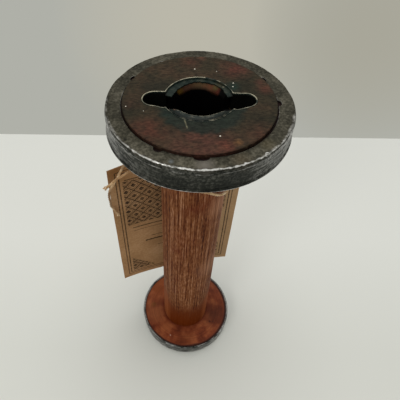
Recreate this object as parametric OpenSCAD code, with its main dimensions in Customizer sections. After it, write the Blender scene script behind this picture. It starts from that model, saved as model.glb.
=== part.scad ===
// Shielded mill bobbin: a turned hardwood barrel between two wooden heads, each head cased in
// a pressed steel shield, with a lined drive recess in the upper head and a hang tag on twine.
// Millimetres. The origin is the centre of the foot shield's face, +Z runs up the spindle bore,
// and X runs along the drive slot.

/* [Bobbin] */
// Height between the outer faces of the two shields
shield_height = 203.2; // [120:0.1:300]
// Diameter over the drive-end shield
drive_d = 76.2; // [66:0.1:100]
// Diameter over the foot shield
foot_d = 63.5; // [58:0.1:90]
// Depth of each shield along the bore
shield_depth = 11.1; // [9:0.1:16]

/* [Barrel] */
// Outside diameter of the barrel
barrel_d = 31.75; // [30.5:0.05:40]
// Diameter of the spindle bore
bore_d = 22.225; // [20.4:0.005:22.4]
// Diameter of the tenon that each head is driven onto
tenon_d = 27.9; // [26:0.1:29]

/* [Steel shields] */
// Thickness of the shield sheet
sheet = 0.8; // [0.5:0.1:1.2]
// Width of the flange that laps onto the end face
flange_w = 6.4; // [4:0.1:9]
// Width of the bevel pressed round the shield's corner, across the flange
bevel_w = 1; // [0.6:0.1:2]
// Depth of that bevel down the wall
bevel_depth = 1.7; // [1:0.1:2.5]
// Radius of the curled inner edge
curl_r = 0.75; // [0.5:0.05:1]
// Radius of the staking nicks in the flange
nick_r = 1.3; // [0.6:0.1:2]

/* [Wooden heads] */
// Height that the drive head's face stands above its shield
drive_proud = 1.4; // [0:0.1:3]
// Depth that the foot head's face lies inside its shield
foot_sunk = 0.3; // [0:0.1:0.5]
// Width of the groove between the face and the flange
groove_w = 0.7; // [0.3:0.1:1.5]
// Bevel round the drive head's face
face_bevel = 0.6; // [0.2:0.1:1]

/* [Drive recess] */
// Inside length of the drive slot
slot_l = 45.4; // [38:0.1:50]
// Inside width of the drive slot
slot_w = 7.9; // [6:0.1:10]
// Depth of the recess from the drive face
recess_depth = 8; // [5:0.5:10]
// Thickness of the liner sheet
liner_t = 0.6; // [0.4:0.1:1]
// Height that the liner's edge stands above the drive face
liner_lip = 0.2; // [0:0.1:0.5]
// Drop from the drive face to the liner's shelf
shelf_drop = 0.8; // [0.4:0.1:1.5]

/* [Foot bush] */
// Bore of the steel bush in the foot
bush_bore_d = 19.05; // [14:0.05:20]
// Outside diameter of the bush, which seats in a counterbore
bush_d = 22.9; // [22.6:0.1:24]
// Length of the bush
bush_l = 19; // [10:1:30]
// Diameter of the bush's lip
bush_lip_d = 25.3; // [24.6:0.1:26]

/* [Tag and twine] */
// Width of the card measured round its curve
tag_w = 74.6; // [50:0.1:90]
// Height of the card
tag_h = 111.5; // [60:0.5:140]
// Thickness of the card
tag_t = 0.5; // [0.3:0.1:0.8]
// Height of the card's lower edge above the foot
tag_z = 47; // [30:1:60]
// Radius that the card is cupped to
tag_cup_r = 227; // [150:1:400]
// Diameter of the twine
twine_d = 1.2; // [1:0.1:1.2]

/* [Hidden] */
$fn = 96;
eps = 0.01;
fit_gap = 0.05;

bore_r = bore_d / 2;
tenon_r = tenon_d / 2;
drive_face_z = shield_height + drive_proud;
tenon_top_z = drive_face_z - shelf_drop - liner_t;
recess_floor_z = drive_face_z - recess_depth;
liner_r = tenon_r + fit_gap;
bush_lip_t = 0.8;
edge_break = 0.4;

// Slope of the shield's bevel, and how far its bends lie from the outer ones inside the sheet
bevel_slope = atan2(bevel_depth, bevel_w);
bend_back = sheet * tan(bevel_slope / 2);
bend_down = sheet * tan(45 - bevel_slope / 2);

// The twelfths of a turn, from the slot, at which each flange is nicked
nick_steps = [0, 1, 4, 5, 8, 9];

// The card hangs at the back of the barrel, in a frame turned so that X points out through it
tag_turn = 103.9;
tag_out = 18.2;
tag_left = 41.3;
tag_x = tag_out - tag_cup_r;

// The bight is the small ring of twine between the loop and the card's hole
bight_r = 1.4;
bight_side = 3.2;
bight_x = 17.92;
bight_top_z = 159.5;
bight_low_z = 152.6;
hole_r = 2.2;
hole_z = 151.2;

// Cord tube
twine_sides = 8;
loop_rings = 40;
loop_start = -158;

// The loop's distance from the axis and its height, against the angle round the barrel
loop_out = [
    [-158, 17.5], [-130, 17], [-80, 16.9], [-50, 17.1], [-15, 17.5], [35, 17.7],
    [85, 18.1], [104, 18.2], [114, 18.2], [155, 17.8], [180, 17.6], [202, 17.5]
];
loop_up = [
    [-158, 168], [-130, 168.6], [-105, 168.5], [-80, 167.4], [-65, 164.6], [-50, 160.8],
    [-35, 158], [-15, 157], [10, 157.2], [60, 158.4], [85, 159.3], [96, 159.5],
    [121, 159.5], [130, 160.2], [155, 163], [180, 166], [202, 168]
];

// Where the knot lies, how its two turns are set, and the two tails that leave it
knot_at = [-17, -7, 168.5];
knot_turn = -23;
knot_tilts = [-35, 55];
knot_strand_d = 1.3 * twine_d;
tail_short = [
    [-17, -7, 168], [-19.5, -6, 168], [-22, -4.5, 167.5], [-24.5, -3.5, 167], [-26.5, -2.5, 166],
    [-28.5, -1.5, 164.5], [-31, -1, 163], [-33, -1, 161.5], [-35, -1, 159.5], [-37, -1, 158],
    [-39, -1, 156], [-40.5, -1.5, 154.5], [-42.5, -1.5, 152.5], [-44.5, -2, 151]
];
tail_long = [
    [-17, -6.5, 169.5], [-19.5, -6, 170.5], [-22, -5, 171.5], [-24.5, -3.5, 172], [-27, -2.5, 171.5],
    [-29, -1.5, 170.5], [-31, -1, 169], [-32.5, 0, 167], [-34, 0.5, 165], [-35, 0.5, 162.5],
    [-36, 1, 160], [-37, 1.5, 157.5], [-38, 1.5, 155], [-39.5, 1.5, 152.5], [-40.5, 1.5, 150],
    [-42, 1.5, 147.5], [-43, 1, 145], [-43.5, 1, 142], [-43.5, 1, 139], [-43.5, 1.5, 136],
    [-43.5, 1.5, 133], [-43, 2, 130.5], [-42, 2.5, 127.5], [-41.5, 3, 125], [-40.5, 3, 122.5]
];

// ---- shared shapes ----

// A slot with round ends that runs through the middle of a circle
module keyhole(circle_r, half_l, half_w) {
    circle(circle_r);
    square([2 * (half_l - half_w), 2 * half_w], center = true);
    for (side = [-1, 1]) {
        translate([side * (half_l - half_w), 0]) circle(half_w);
    }
}

// One shield's section: flange at z = 0, bevel with its two ridges, wall and curled edge
module shield_section(r) {
    curl_z = shield_depth - curl_r;
    polygon([
        [r - flange_w, 0], [r - bevel_w, 0], [r, bevel_depth], [r, curl_z], [r - sheet, curl_z],
        [r - sheet, bevel_depth + bend_down], [r - bevel_w - bend_back, sheet], [r - flange_w, sheet]
    ]);
    translate([r - sheet / 3, curl_z]) circle(curl_r);
}

// A pressed shield with its flange face at z = 0 and its curled edge at z = shield_depth
module shield(d) {
    difference() {
        rotate_extrude() shield_section(d / 2);
        for (step = nick_steps) {
            rotate([0, 0, 30 * step]) translate([d / 2 - flange_w, 0, -eps]) {
                cylinder(r = nick_r, h = sheet + 2 * eps);
            }
        }
    }
}

// A turned head that fills its shield, with its face at z = face and the barrel side up
module head_blank(d, face, bevel) {
    wall_r = d / 2 - sheet - fit_gap;
    face_r = d / 2 - flange_w - groove_w;
    curl_in_r = d / 2 - sheet / 3 - curl_r - fit_gap;
    curl_z = shield_depth - 2 * curl_r - fit_gap;
    rotate_extrude() polygon([
        [0, face], [face_r - bevel, face], [face_r, face + bevel], [face_r, sheet + fit_gap],
        [d / 2 - bevel_w - bend_back - fit_gap, sheet + fit_gap],
        [wall_r, bevel_depth + bend_down + fit_gap], [wall_r, curl_z - edge_break],
        [curl_in_r, curl_z], [curl_in_r, shield_depth - edge_break],
        [curl_in_r - edge_break, shield_depth], [0, shield_depth]
    ]);
}

// Puts a shape drawn from its outer face at z = 0 on the drive end, facing up
module at_drive_end() {
    translate([0, 0, shield_height]) mirror([0, 0, 1]) children();
}

// Turns a shape into the tag's frame: X out through the card, -Y along its width
module at_tag() {
    rotate([0, 0, tag_turn]) children();
}

// ---- twine ----

function unit(v) = v / norm(v);

// The direction of the route at point i
function along(route, i, closed) =
    let (n = len(route))
    let (before = closed ? route[(i + n - 1) % n] : route[max(i - 1, 0)])
    let (after = closed ? route[(i + 1) % n] : route[min(i + 1, n - 1)])
    unit(after - before);

// One ring of the tube, square to the route
function ring_at(p, dir, r) =
    let (side = unit(cross(dir, [0, 0, 1])))
    let (up = cross(side, dir))
    [for (k = [0 : twine_sides - 1])
        let (a = 360 * k / twine_sides)
        p + r * (cos(a) * side + sin(a) * up)];

module tube(route, closed = false) {
    n = len(route);
    s = twine_sides;
    rings = [for (i = [0 : n - 1]) each ring_at(route[i], along(route, i, closed), twine_d / 2)];
    last = closed ? n - 1 : n - 2;
    wall = [for (i = [0 : last], k = [0 : s - 1])
        let (j = (i + 1) % n)
        let (m = (k + 1) % s)
        each [[i * s + k, i * s + m, j * s + m], [i * s + k, j * s + m, j * s + k]]];
    ends = closed ? [] : [[for (k = [s - 1 : -1 : 0]) k], [for (k = [0 : s - 1]) (n - 1) * s + k]];
    polyhedron(points = rings, faces = concat(wall, ends));
}

function loop_point(a) =
    let (r = lookup(a, loop_out))
    [r * cos(a), r * sin(a), lookup(a, loop_up)];

// ---- the bobbin ----

// Barrel with a tenon at each end, bored through, counterbored at the foot for the bush, and
// slotted across the top for the driver
module barrel() {
    color("#8a6249")
    difference() {
        union() {
            translate([0, 0, shield_depth]) {
                cylinder(d = barrel_d, h = shield_height - 2 * shield_depth);
            }
            translate([0, 0, foot_sunk]) cylinder(r = tenon_r, h = tenon_top_z - foot_sunk);
        }
        translate([0, 0, -1]) cylinder(r = bore_r, h = shield_height + 2);
        translate([0, 0, foot_sunk - eps]) {
            cylinder(d = bush_lip_d + 2 * fit_gap, h = bush_lip_t + fit_gap);
            cylinder(d = bush_d + 2 * fit_gap, h = bush_l + fit_gap);
        }
        translate([-barrel_d / 2, -slot_w / 2 - liner_t, recess_floor_z - fit_gap]) {
            cube([barrel_d, slot_w + 2 * liner_t, recess_depth]);
        }
    }
}

module drive_head() {
    color("#4a322a")
    difference() {
        at_drive_end() head_blank(drive_d, -drive_proud, face_bevel);
        translate([0, 0, shield_height - shield_depth - 1]) {
            cylinder(r = tenon_r + fit_gap, h = shield_depth + drive_proud + 2);
        }
        translate([0, 0, recess_floor_z - fit_gap]) linear_extrude(recess_depth + 1) {
            keyhole(liner_r + liner_t + fit_gap, slot_l / 2 + liner_t + fit_gap,
                slot_w / 2 + liner_t + fit_gap);
        }
    }
}

module foot_head() {
    color("#7a4526")
    difference() {
        head_blank(foot_d, foot_sunk, foot_sunk);
        translate([0, 0, -1]) cylinder(r = tenon_r + fit_gap, h = shield_depth + 2);
    }
}

module drive_shield() {
    color("#4c4e48") at_drive_end() shield(drive_d);
}

module foot_shield() {
    color("#4c4e48") shield(foot_d);
}

// Sheet liner: a keyhole-shaped wall with a shelf that caps the end of the barrel
module drive_liner() {
    color("#8f8a6a") {
        translate([0, 0, recess_floor_z]) linear_extrude(recess_depth + liner_lip) {
            difference() {
                keyhole(liner_r + liner_t, slot_l / 2 + liner_t, slot_w / 2 + liner_t);
                keyhole(liner_r, slot_l / 2, slot_w / 2);
            }
        }
        translate([0, 0, tenon_top_z]) linear_extrude(liner_t) {
            difference() {
                circle(liner_r + liner_t / 2);
                circle(bore_r);
                square([2 * barrel_d, slot_w], center = true);
            }
        }
    }
}

module foot_bush() {
    color("#8a8d90")
    translate([0, 0, foot_sunk]) {
        difference() {
            union() {
                cylinder(d = bush_d, h = bush_l);
                cylinder(d = bush_lip_d, h = bush_lip_t);
            }
            translate([0, 0, -1]) cylinder(d = bush_bore_d, h = bush_l + 2);
        }
    }
}

// ---- twine and tag ----

module twine_loop() {
    route = [for (i = [0 : loop_rings - 1]) loop_point(loop_start + 360 * i / loop_rings)];
    color("#b59a72") tube(route, closed = true);
}

// Two turns of twine drawn up into a lump
module twine_knot() {
    color("#b59a72")
    translate(knot_at) {
        for (tilt = knot_tilts) {
            rotate([90, tilt, knot_turn]) rotate_extrude($fn = 32) {
                translate([twine_d, 0]) circle(d = knot_strand_d, $fn = 24);
            }
        }
        sphere(r = twine_d, $fn = 32);
    }
}

module twine_tail_short() {
    color("#b59a72") tube(tail_short);
}

module twine_tail_long() {
    color("#b59a72") tube(tail_long);
}

// Half of a ring of twine, round side up
module half_ring() {
    rotate([90, 0, 0]) rotate_extrude(angle = 180) {
        translate([bight_r, 0]) circle(d = twine_d, $fn = 32);
    }
}

// Long ring of twine that joins the loop to the card's hole
module tag_bight() {
    color("#b59a72")
    at_tag() translate([bight_x, bight_side, 0]) {
        translate([0, 0, bight_top_z]) half_ring();
        translate([0, 0, bight_low_z]) mirror([0, 0, 1]) half_ring();
        for (side = [-1, 1]) {
            translate([side * bight_r, 0, bight_low_z]) {
                cylinder(d = twine_d, h = bight_top_z - bight_low_z, $fn = 32);
            }
        }
    }
}

// Card cupped round the back of the barrel, with one punched hole
module tag_card() {
    color("#a8835a")
    at_tag() difference() {
        intersection() {
            translate([tag_x, 0, tag_z]) difference() {
                cylinder(r = tag_cup_r + tag_t / 2, h = tag_h, $fn = 360);
                translate([0, 0, -1]) cylinder(r = tag_cup_r - tag_t / 2, h = tag_h + 2, $fn = 360);
            }
            translate([0, tag_left - tag_w, tag_z - 1]) cube([2 * tag_out, tag_w, tag_h + 2]);
        }
        translate([0, bight_side, hole_z]) rotate([0, 90, 0]) {
            cylinder(r = hole_r, h = 2 * tag_out, $fn = 48);
        }
    }
}

barrel();
drive_head();
foot_head();
drive_shield();
foot_shield();
drive_liner();
foot_bush();
twine_loop();
twine_knot();
twine_tail_short();
twine_tail_long();
tag_bight();
tag_card();
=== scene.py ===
import math

import bmesh
import bpy
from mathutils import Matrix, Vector, noise


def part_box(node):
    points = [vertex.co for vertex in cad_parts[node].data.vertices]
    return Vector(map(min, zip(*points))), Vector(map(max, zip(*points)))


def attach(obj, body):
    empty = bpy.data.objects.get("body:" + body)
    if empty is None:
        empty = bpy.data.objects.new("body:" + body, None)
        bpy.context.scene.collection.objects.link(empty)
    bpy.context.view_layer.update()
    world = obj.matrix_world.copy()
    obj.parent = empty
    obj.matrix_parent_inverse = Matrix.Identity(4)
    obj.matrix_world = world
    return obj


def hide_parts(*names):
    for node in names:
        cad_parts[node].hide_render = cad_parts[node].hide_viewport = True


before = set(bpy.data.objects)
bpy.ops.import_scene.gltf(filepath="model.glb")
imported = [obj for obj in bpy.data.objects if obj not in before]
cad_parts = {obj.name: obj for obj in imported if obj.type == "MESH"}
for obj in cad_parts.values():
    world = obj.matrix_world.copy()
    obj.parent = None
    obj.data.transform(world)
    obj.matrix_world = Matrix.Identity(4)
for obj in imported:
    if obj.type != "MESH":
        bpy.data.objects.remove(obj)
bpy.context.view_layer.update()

mm = 0.001
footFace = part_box("foot_shield")[0].z / mm
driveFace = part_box("drive_shield")[1].z / mm
print("frame loaded,", len(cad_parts), "nodes")

# Places in millimetres, angles in degrees
viewer = {"eye": (-9.545, -133.158, 305.1), "tilt": 38.98, "heading": 1.0, "lens": 36.53, "shiftX": 0.076}


def makeCamera():
    data = bpy.data.cameras.new("camera")
    camera = bpy.data.objects.new("camera", data)
    bpy.context.scene.collection.objects.link(camera)
    camera.location = Vector(viewer["eye"]) * mm
    camera.rotation_euler = (math.radians(viewer["tilt"]), 0, math.radians(viewer["heading"]))
    data.lens = viewer["lens"]
    data.shift_x = viewer["shiftX"]
    data.clip_start = 0.01
    bpy.context.scene.camera = camera


makeCamera()
print("camera placed")


def linear(hexColour):
    parts = [int(hexColour[i:i + 2], 16) / 255 for i in (1, 3, 5)]
    return [p / 12.92 if p <= 0.04045 else ((p + 0.055) / 1.055) ** 2.4 for p in parts] + [1]


def feed(tree, socket, value):  # value is a number, a vector, a colour in hex, a socket or another node
    if isinstance(value, bpy.types.Node):
        value = next(s for s in value.outputs if s.enabled)
    if isinstance(value, bpy.types.NodeSocket):
        tree.links.new(value, socket)
    else:
        isHex = isinstance(value, str) and value.startswith("#")
        socket.default_value = linear(value) if isHex else value


def addNode(tree, kind, sockets=None, stops=(), **settings):
    # sockets maps an input's name or number to what feeds it, and stops are a ramp's places and shades
    node = tree.nodes.new(kind)
    for name, value in settings.items():
        setattr(node, name, value)
    for key, value in (sockets or {}).items():
        socket = node.inputs[key] if isinstance(key, int) else next(
            s for s in node.inputs if s.enabled and s.name == key)
        feed(tree, socket, value)
    if stops:
        ramp = node.color_ramp
        while len(ramp.elements) < len(stops):
            ramp.elements.new(1)
        for element, (at, shade) in zip(ramp.elements, stops):
            element.position = at
            element.color = linear(shade) if isinstance(shade, str) else (shade, shade, shade, 1)
    return node


def perMm(size):  # a texture's scale for features of that size in millimetres
    return 1 / (size * mm)


def over(low, high):  # a map range's ends, from millimetres
    return {"From Min": low * mm, "From Max": high * mm}


def amid(low, high):  # a comparison's middle and half width, from the ends in millimetres
    return {1: (low + high) / 2 * mm, 2: (high - low) / 2 * mm}


def startMaterial(name):
    material = bpy.data.materials.new(name)
    material.use_nodes = True
    tree = material.node_tree
    place = addNode(tree, "ShaderNodeTexCoord").outputs["Object"]
    return material, tree, tree.nodes["Principled BSDF"], place


def finishMaterial(tree, shader, sockets, height=None, depth=0):  # depth of the bumps in millimetres
    for name, value in sockets.items():
        feed(tree, shader.inputs[name], value)
    if height:
        bump = addNode(tree, "ShaderNodeBump", {"Strength": 1.0, "Distance": depth * mm, "Height": height})
        feed(tree, shader.inputs["Normal"], bump)


def fromAxis(tree, place):  # distance from the bobbin's axis
    flat = addNode(tree, "ShaderNodeVectorMath", {0: place, 1: (1, 1, 0)}, operation="MULTIPLY")
    return addNode(tree, "ShaderNodeVectorMath", {0: flat}, operation="LENGTH")


def addSpots(tree, place, colour, spots, ragged=1.0):
    # each spot has its place, radius and softness in millimetres, its colour and its strength; spots carry
    # real stains and also painted light and shade
    for at, radius, soft, tint, strength in spots:
        centre = [c * mm for c in at]
        away = addNode(tree, "ShaderNodeVectorMath", {0: place, 1: centre}, operation="DISTANCE")
        near = addNode(tree, "ShaderNodeMapRange", {"Value": away, **over(radius, radius - soft),
                                                    "To Max": strength})
        share = addNode(tree, "ShaderNodeMath", {0: near, 1: ragged}, operation="MULTIPLY", use_clamp=True)
        colour = addNode(tree, "ShaderNodeMix", {"Factor": share, "A": colour, "B": tint}, data_type="RGBA")
    return colour


def raised(marks, height):  # marks on a flat face, given without their height
    return [((*at, height), *rest) for at, *rest in marks]


def bumps(x, y, z, size, seed=0):  # smooth noise from -1 to 1 with features of that size in millimetres
    return noise.noise(Vector((x / size + seed, y / size - seed, z / size + 2 * seed)))


def bell(distance, width):  # 1 at no distance, and nearly 0 from two widths on
    return math.exp(-(distance / width) ** 2)


def rise(value, low, high):  # 0 up to low, 1 from high on
    return min(1, max(0, (value - low) / (high - low)))


def lookUp(table, at):  # the value at a place, in straight steps between the table's rows
    for (a, low), (b, high) in zip(table, table[1:]):
        if at <= b:
            return low + (high - low) * (at - a) / (b - a)
    return table[-1][1]


def aboutAxis(x, y, z, degrees):  # a place turned about the bobbin's axis
    turn = math.radians(degrees)
    return Vector((x * math.cos(turn) - y * math.sin(turn), x * math.sin(turn) + y * math.cos(turn), z))


def arc(centre, radius, start, end, steps):
    angles = [math.radians(start + (end - start) * k / steps) for k in range(steps + 1)]
    return [(centre[0] + radius * math.cos(a), centre[1] + radius * math.sin(a)) for a in angles]


def between(start, end, step):  # points from start towards end, without end
    count = max(1, round(math.dist(start, end) / step))
    return [tuple(a + (b - a) * k / count for a, b in zip(start, end)) for k in range(count)]


def through(corners):  # points along straight runs; each corner but the last has the step of the run after it
    runs = zip(corners, corners[1:])
    return [point for (*start, step), end in runs for point in between(start, end[:2], step)]


def finishMesh(mesh, sharp=35):
    work = bmesh.new()
    work.from_mesh(mesh)
    bmesh.ops.recalc_face_normals(work, faces=work.faces)
    work.to_mesh(mesh)
    work.free()
    mesh.shade_smooth()
    mesh.set_sharp_from_angle(angle=math.radians(sharp))


def meshObject(name, points, faces, wearAndSheen=None, sharp=35):  # points in millimetres
    mesh = bpy.data.meshes.new(name)
    mesh.from_pydata([[c * mm for c in point] for point in points], [], faces)
    if wearAndSheen:
        mesh.attributes.new("wearAndSheen", "FLOAT", "POINT").data.foreach_set("value", wearAndSheen)
    finishMesh(mesh, sharp)
    piece = bpy.data.objects.new(name, mesh)
    bpy.context.scene.collection.objects.link(piece)
    return piece


def skin(name, loops, wearAndSheen=None):  # joins closed loops of points side by side, and the last to the first
    count = len(loops[0])
    turns = [(k * count, (k + 1) % len(loops) * count) for k in range(len(loops))]
    steps = [(k, (k + 1) % count) for k in range(count)]
    faces = [(a + i, b + i, b + j, a + j) for a, b in turns for i, j in steps]
    return meshObject(name, [point for loop in loops for point in loop], faces, wearAndSheen)


def turned(name, section, around, shape):
    # section is a closed loop of (radius, height); shape gives a point's worn radius, height and its wear and
    # painted sheen
    loops, wearAndSheen = [], []
    for step in range(around):
        angle = math.tau * step / around
        worn = [shape(*point, angle) for point in section]
        loops.append([(r * math.cos(angle), r * math.sin(angle), z) for r, z, _ in worn])
        wearAndSheen += [w for _, _, w in worn]
    return skin(name, loops, wearAndSheen)


def plate(name, front, back):  # two equal grids of points, joined round their edges
    rows, count = len(front), len(front[0])

    def at(side, r, c):
        return (side * rows + r) * count + c

    cells = [(r, c) for r in range(rows - 1) for c in range(count - 1)]
    faces = [(at(side, r, c), at(side, r, c + 1), at(side, r + 1, c + 1), at(side, r + 1, c))
             for side in (0, 1) for r, c in cells]
    rim = [(0, c) for c in range(count)] + [(r, count - 1) for r in range(1, rows)]
    rim += [(rows - 1, c) for c in range(count - 2, -1, -1)] + [(r, 0) for r in range(rows - 2, 0, -1)]
    faces += [(at(0, *a), at(1, *a), at(1, *b), at(0, *b)) for a, b in zip(rim, rim[1:] + rim[:1])]
    return meshObject(name, [point for grid in (front, back) for row in grid for point in row], faces)


def prism(name, bottom, top):  # a solid between two equal outlines
    count = len(bottom)
    faces = [(k, (k + 1) % count, count + (k + 1) % count, count + k) for k in range(count)]
    faces += [tuple(range(count - 1, -1, -1)), tuple(range(count, 2 * count))]
    return meshObject(name, bottom + top, faces)


def post(name, outline, low, high):  # an upright solid on an outline
    return prism(name, [(*point, low) for point in outline], [(*point, high) for point in outline])


def cut(piece, cutter):
    modifier = piece.modifiers.new("cut", "BOOLEAN")
    modifier.object = cutter
    modifier.operation = "DIFFERENCE"
    modifier.solver = "EXACT"
    shown = piece.evaluated_get(bpy.context.evaluated_depsgraph_get())
    mesh = bpy.data.meshes.new_from_object(shown)
    piece.modifiers.remove(modifier)
    piece.data = mesh
    bpy.data.objects.remove(cutter)
    finishMesh(mesh)


def merged(pieces):  # adds the other pieces' meshes to the first
    work = bmesh.new()
    for piece in pieces:
        work.from_mesh(piece.data)
    work.to_mesh(pieces[0].data)
    work.free()
    for piece in pieces[1:]:
        bpy.data.objects.remove(piece)
    finishMesh(pieces[0].data)
    return pieces[0]


def halfWide(node):  # half of a node's width, in millimetres
    low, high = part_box(node)
    return (high.x - low.x) / mm / 2


def settle(piece, body, slot, *nodes):  # the body that carries a piece, its material's slot, which is not used, and its nodes
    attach(piece, body)
    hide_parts(*nodes)


# Twine: three plies laid together, with loose fibres. Routes are in millimetres.
twine = {"diameter": 1.2, "plies": 3, "plyRadius": 0.33, "layRadius": 0.3, "turnLength": 5.2,
         "hairLength": 1.1, "hairRadius": 0.022, "hairsPerMm": 5, "fineStep": 0.25, "waver": 0.12,
         "loopPoints": 40}
knot = {"at": (-17, -7, 168.5), "turn": -23, "size": 0.62, "points": 60}
tailShort = [
    (-17, -7, 168), (-19.5, -6, 168), (-22, -4.5, 167.5), (-24.5, -3.5, 167), (-26.5, -2.5, 166),
    (-28.5, -1.5, 164.5), (-31, -1, 163), (-33, -1, 161.5), (-35, -1, 159.5), (-37, -1, 158),
    (-39, -1, 156), (-40.5, -1.5, 154.5), (-42.5, -1.5, 152.5), (-44.5, -2, 151)
]
tailLong = [
    (-17, -6.5, 169.5), (-19.5, -6, 170.5), (-22, -5, 171.5), (-24.5, -3.5, 172), (-27, -2.5, 171.5),
    (-29, -1.5, 170.5), (-31, -1, 169), (-32.5, 0, 167), (-34, 0.5, 165), (-35, 0.5, 162.5),
    (-36, 1, 160), (-37, 1.5, 157.5), (-38, 1.5, 155), (-39.5, 1.5, 152.5), (-40.5, 1.5, 150),
    (-42, 1.5, 147.5), (-43, 1, 145), (-43.5, 1, 142), (-43.5, 1, 139), (-43.5, 1.5, 136),
    (-43.5, 1.5, 133), (-43, 2, 130.5), (-42, 2.5, 127.5), (-41.5, 3, 125), (-40.5, 3, 122.5)
]
# The loop's distance from the axis and its height, by the angle round the barrel
loopOut = [(-158, 17.5), (-130, 17), (-80, 16.9), (-50, 17.1), (-15, 17.5), (35, 17.7),
           (85, 18.1), (104, 18.2), (114, 18.2), (155, 17.8), (180, 17.6), (202, 17.5)]
loopUp = [(-158, 168), (-130, 168.6), (-105, 168.5), (-80, 167.4), (-65, 164.6), (-50, 160.8),
          (-35, 158), (-15, 157), (10, 157.2), (60, 158.4), (85, 159.3), (96, 159.5),
          (121, 159.5), (130, 160.2), (155, 163), (180, 166), (202, 168)]


def smoothed(points, closed=False, steps=6):  # a Catmull-Rom curve through the points
    count = len(points)

    def pick(k):
        return Vector(points[k % count] if closed else points[min(max(k, 0), count - 1)])

    route = []
    for k in range(count if closed else count - 1):
        a, b, c, d = (pick(k + j) for j in (-1, 0, 1, 2))
        for t in (s / steps for s in range(steps)):
            route.append((2 * b + (c - a) * t + (2 * a - 5 * b + 4 * c - d) * t ** 2
                          + (3 * b - a - 3 * c + d) * t ** 3) / 2)
    return route if closed else route + [pick(count - 1)]


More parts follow.
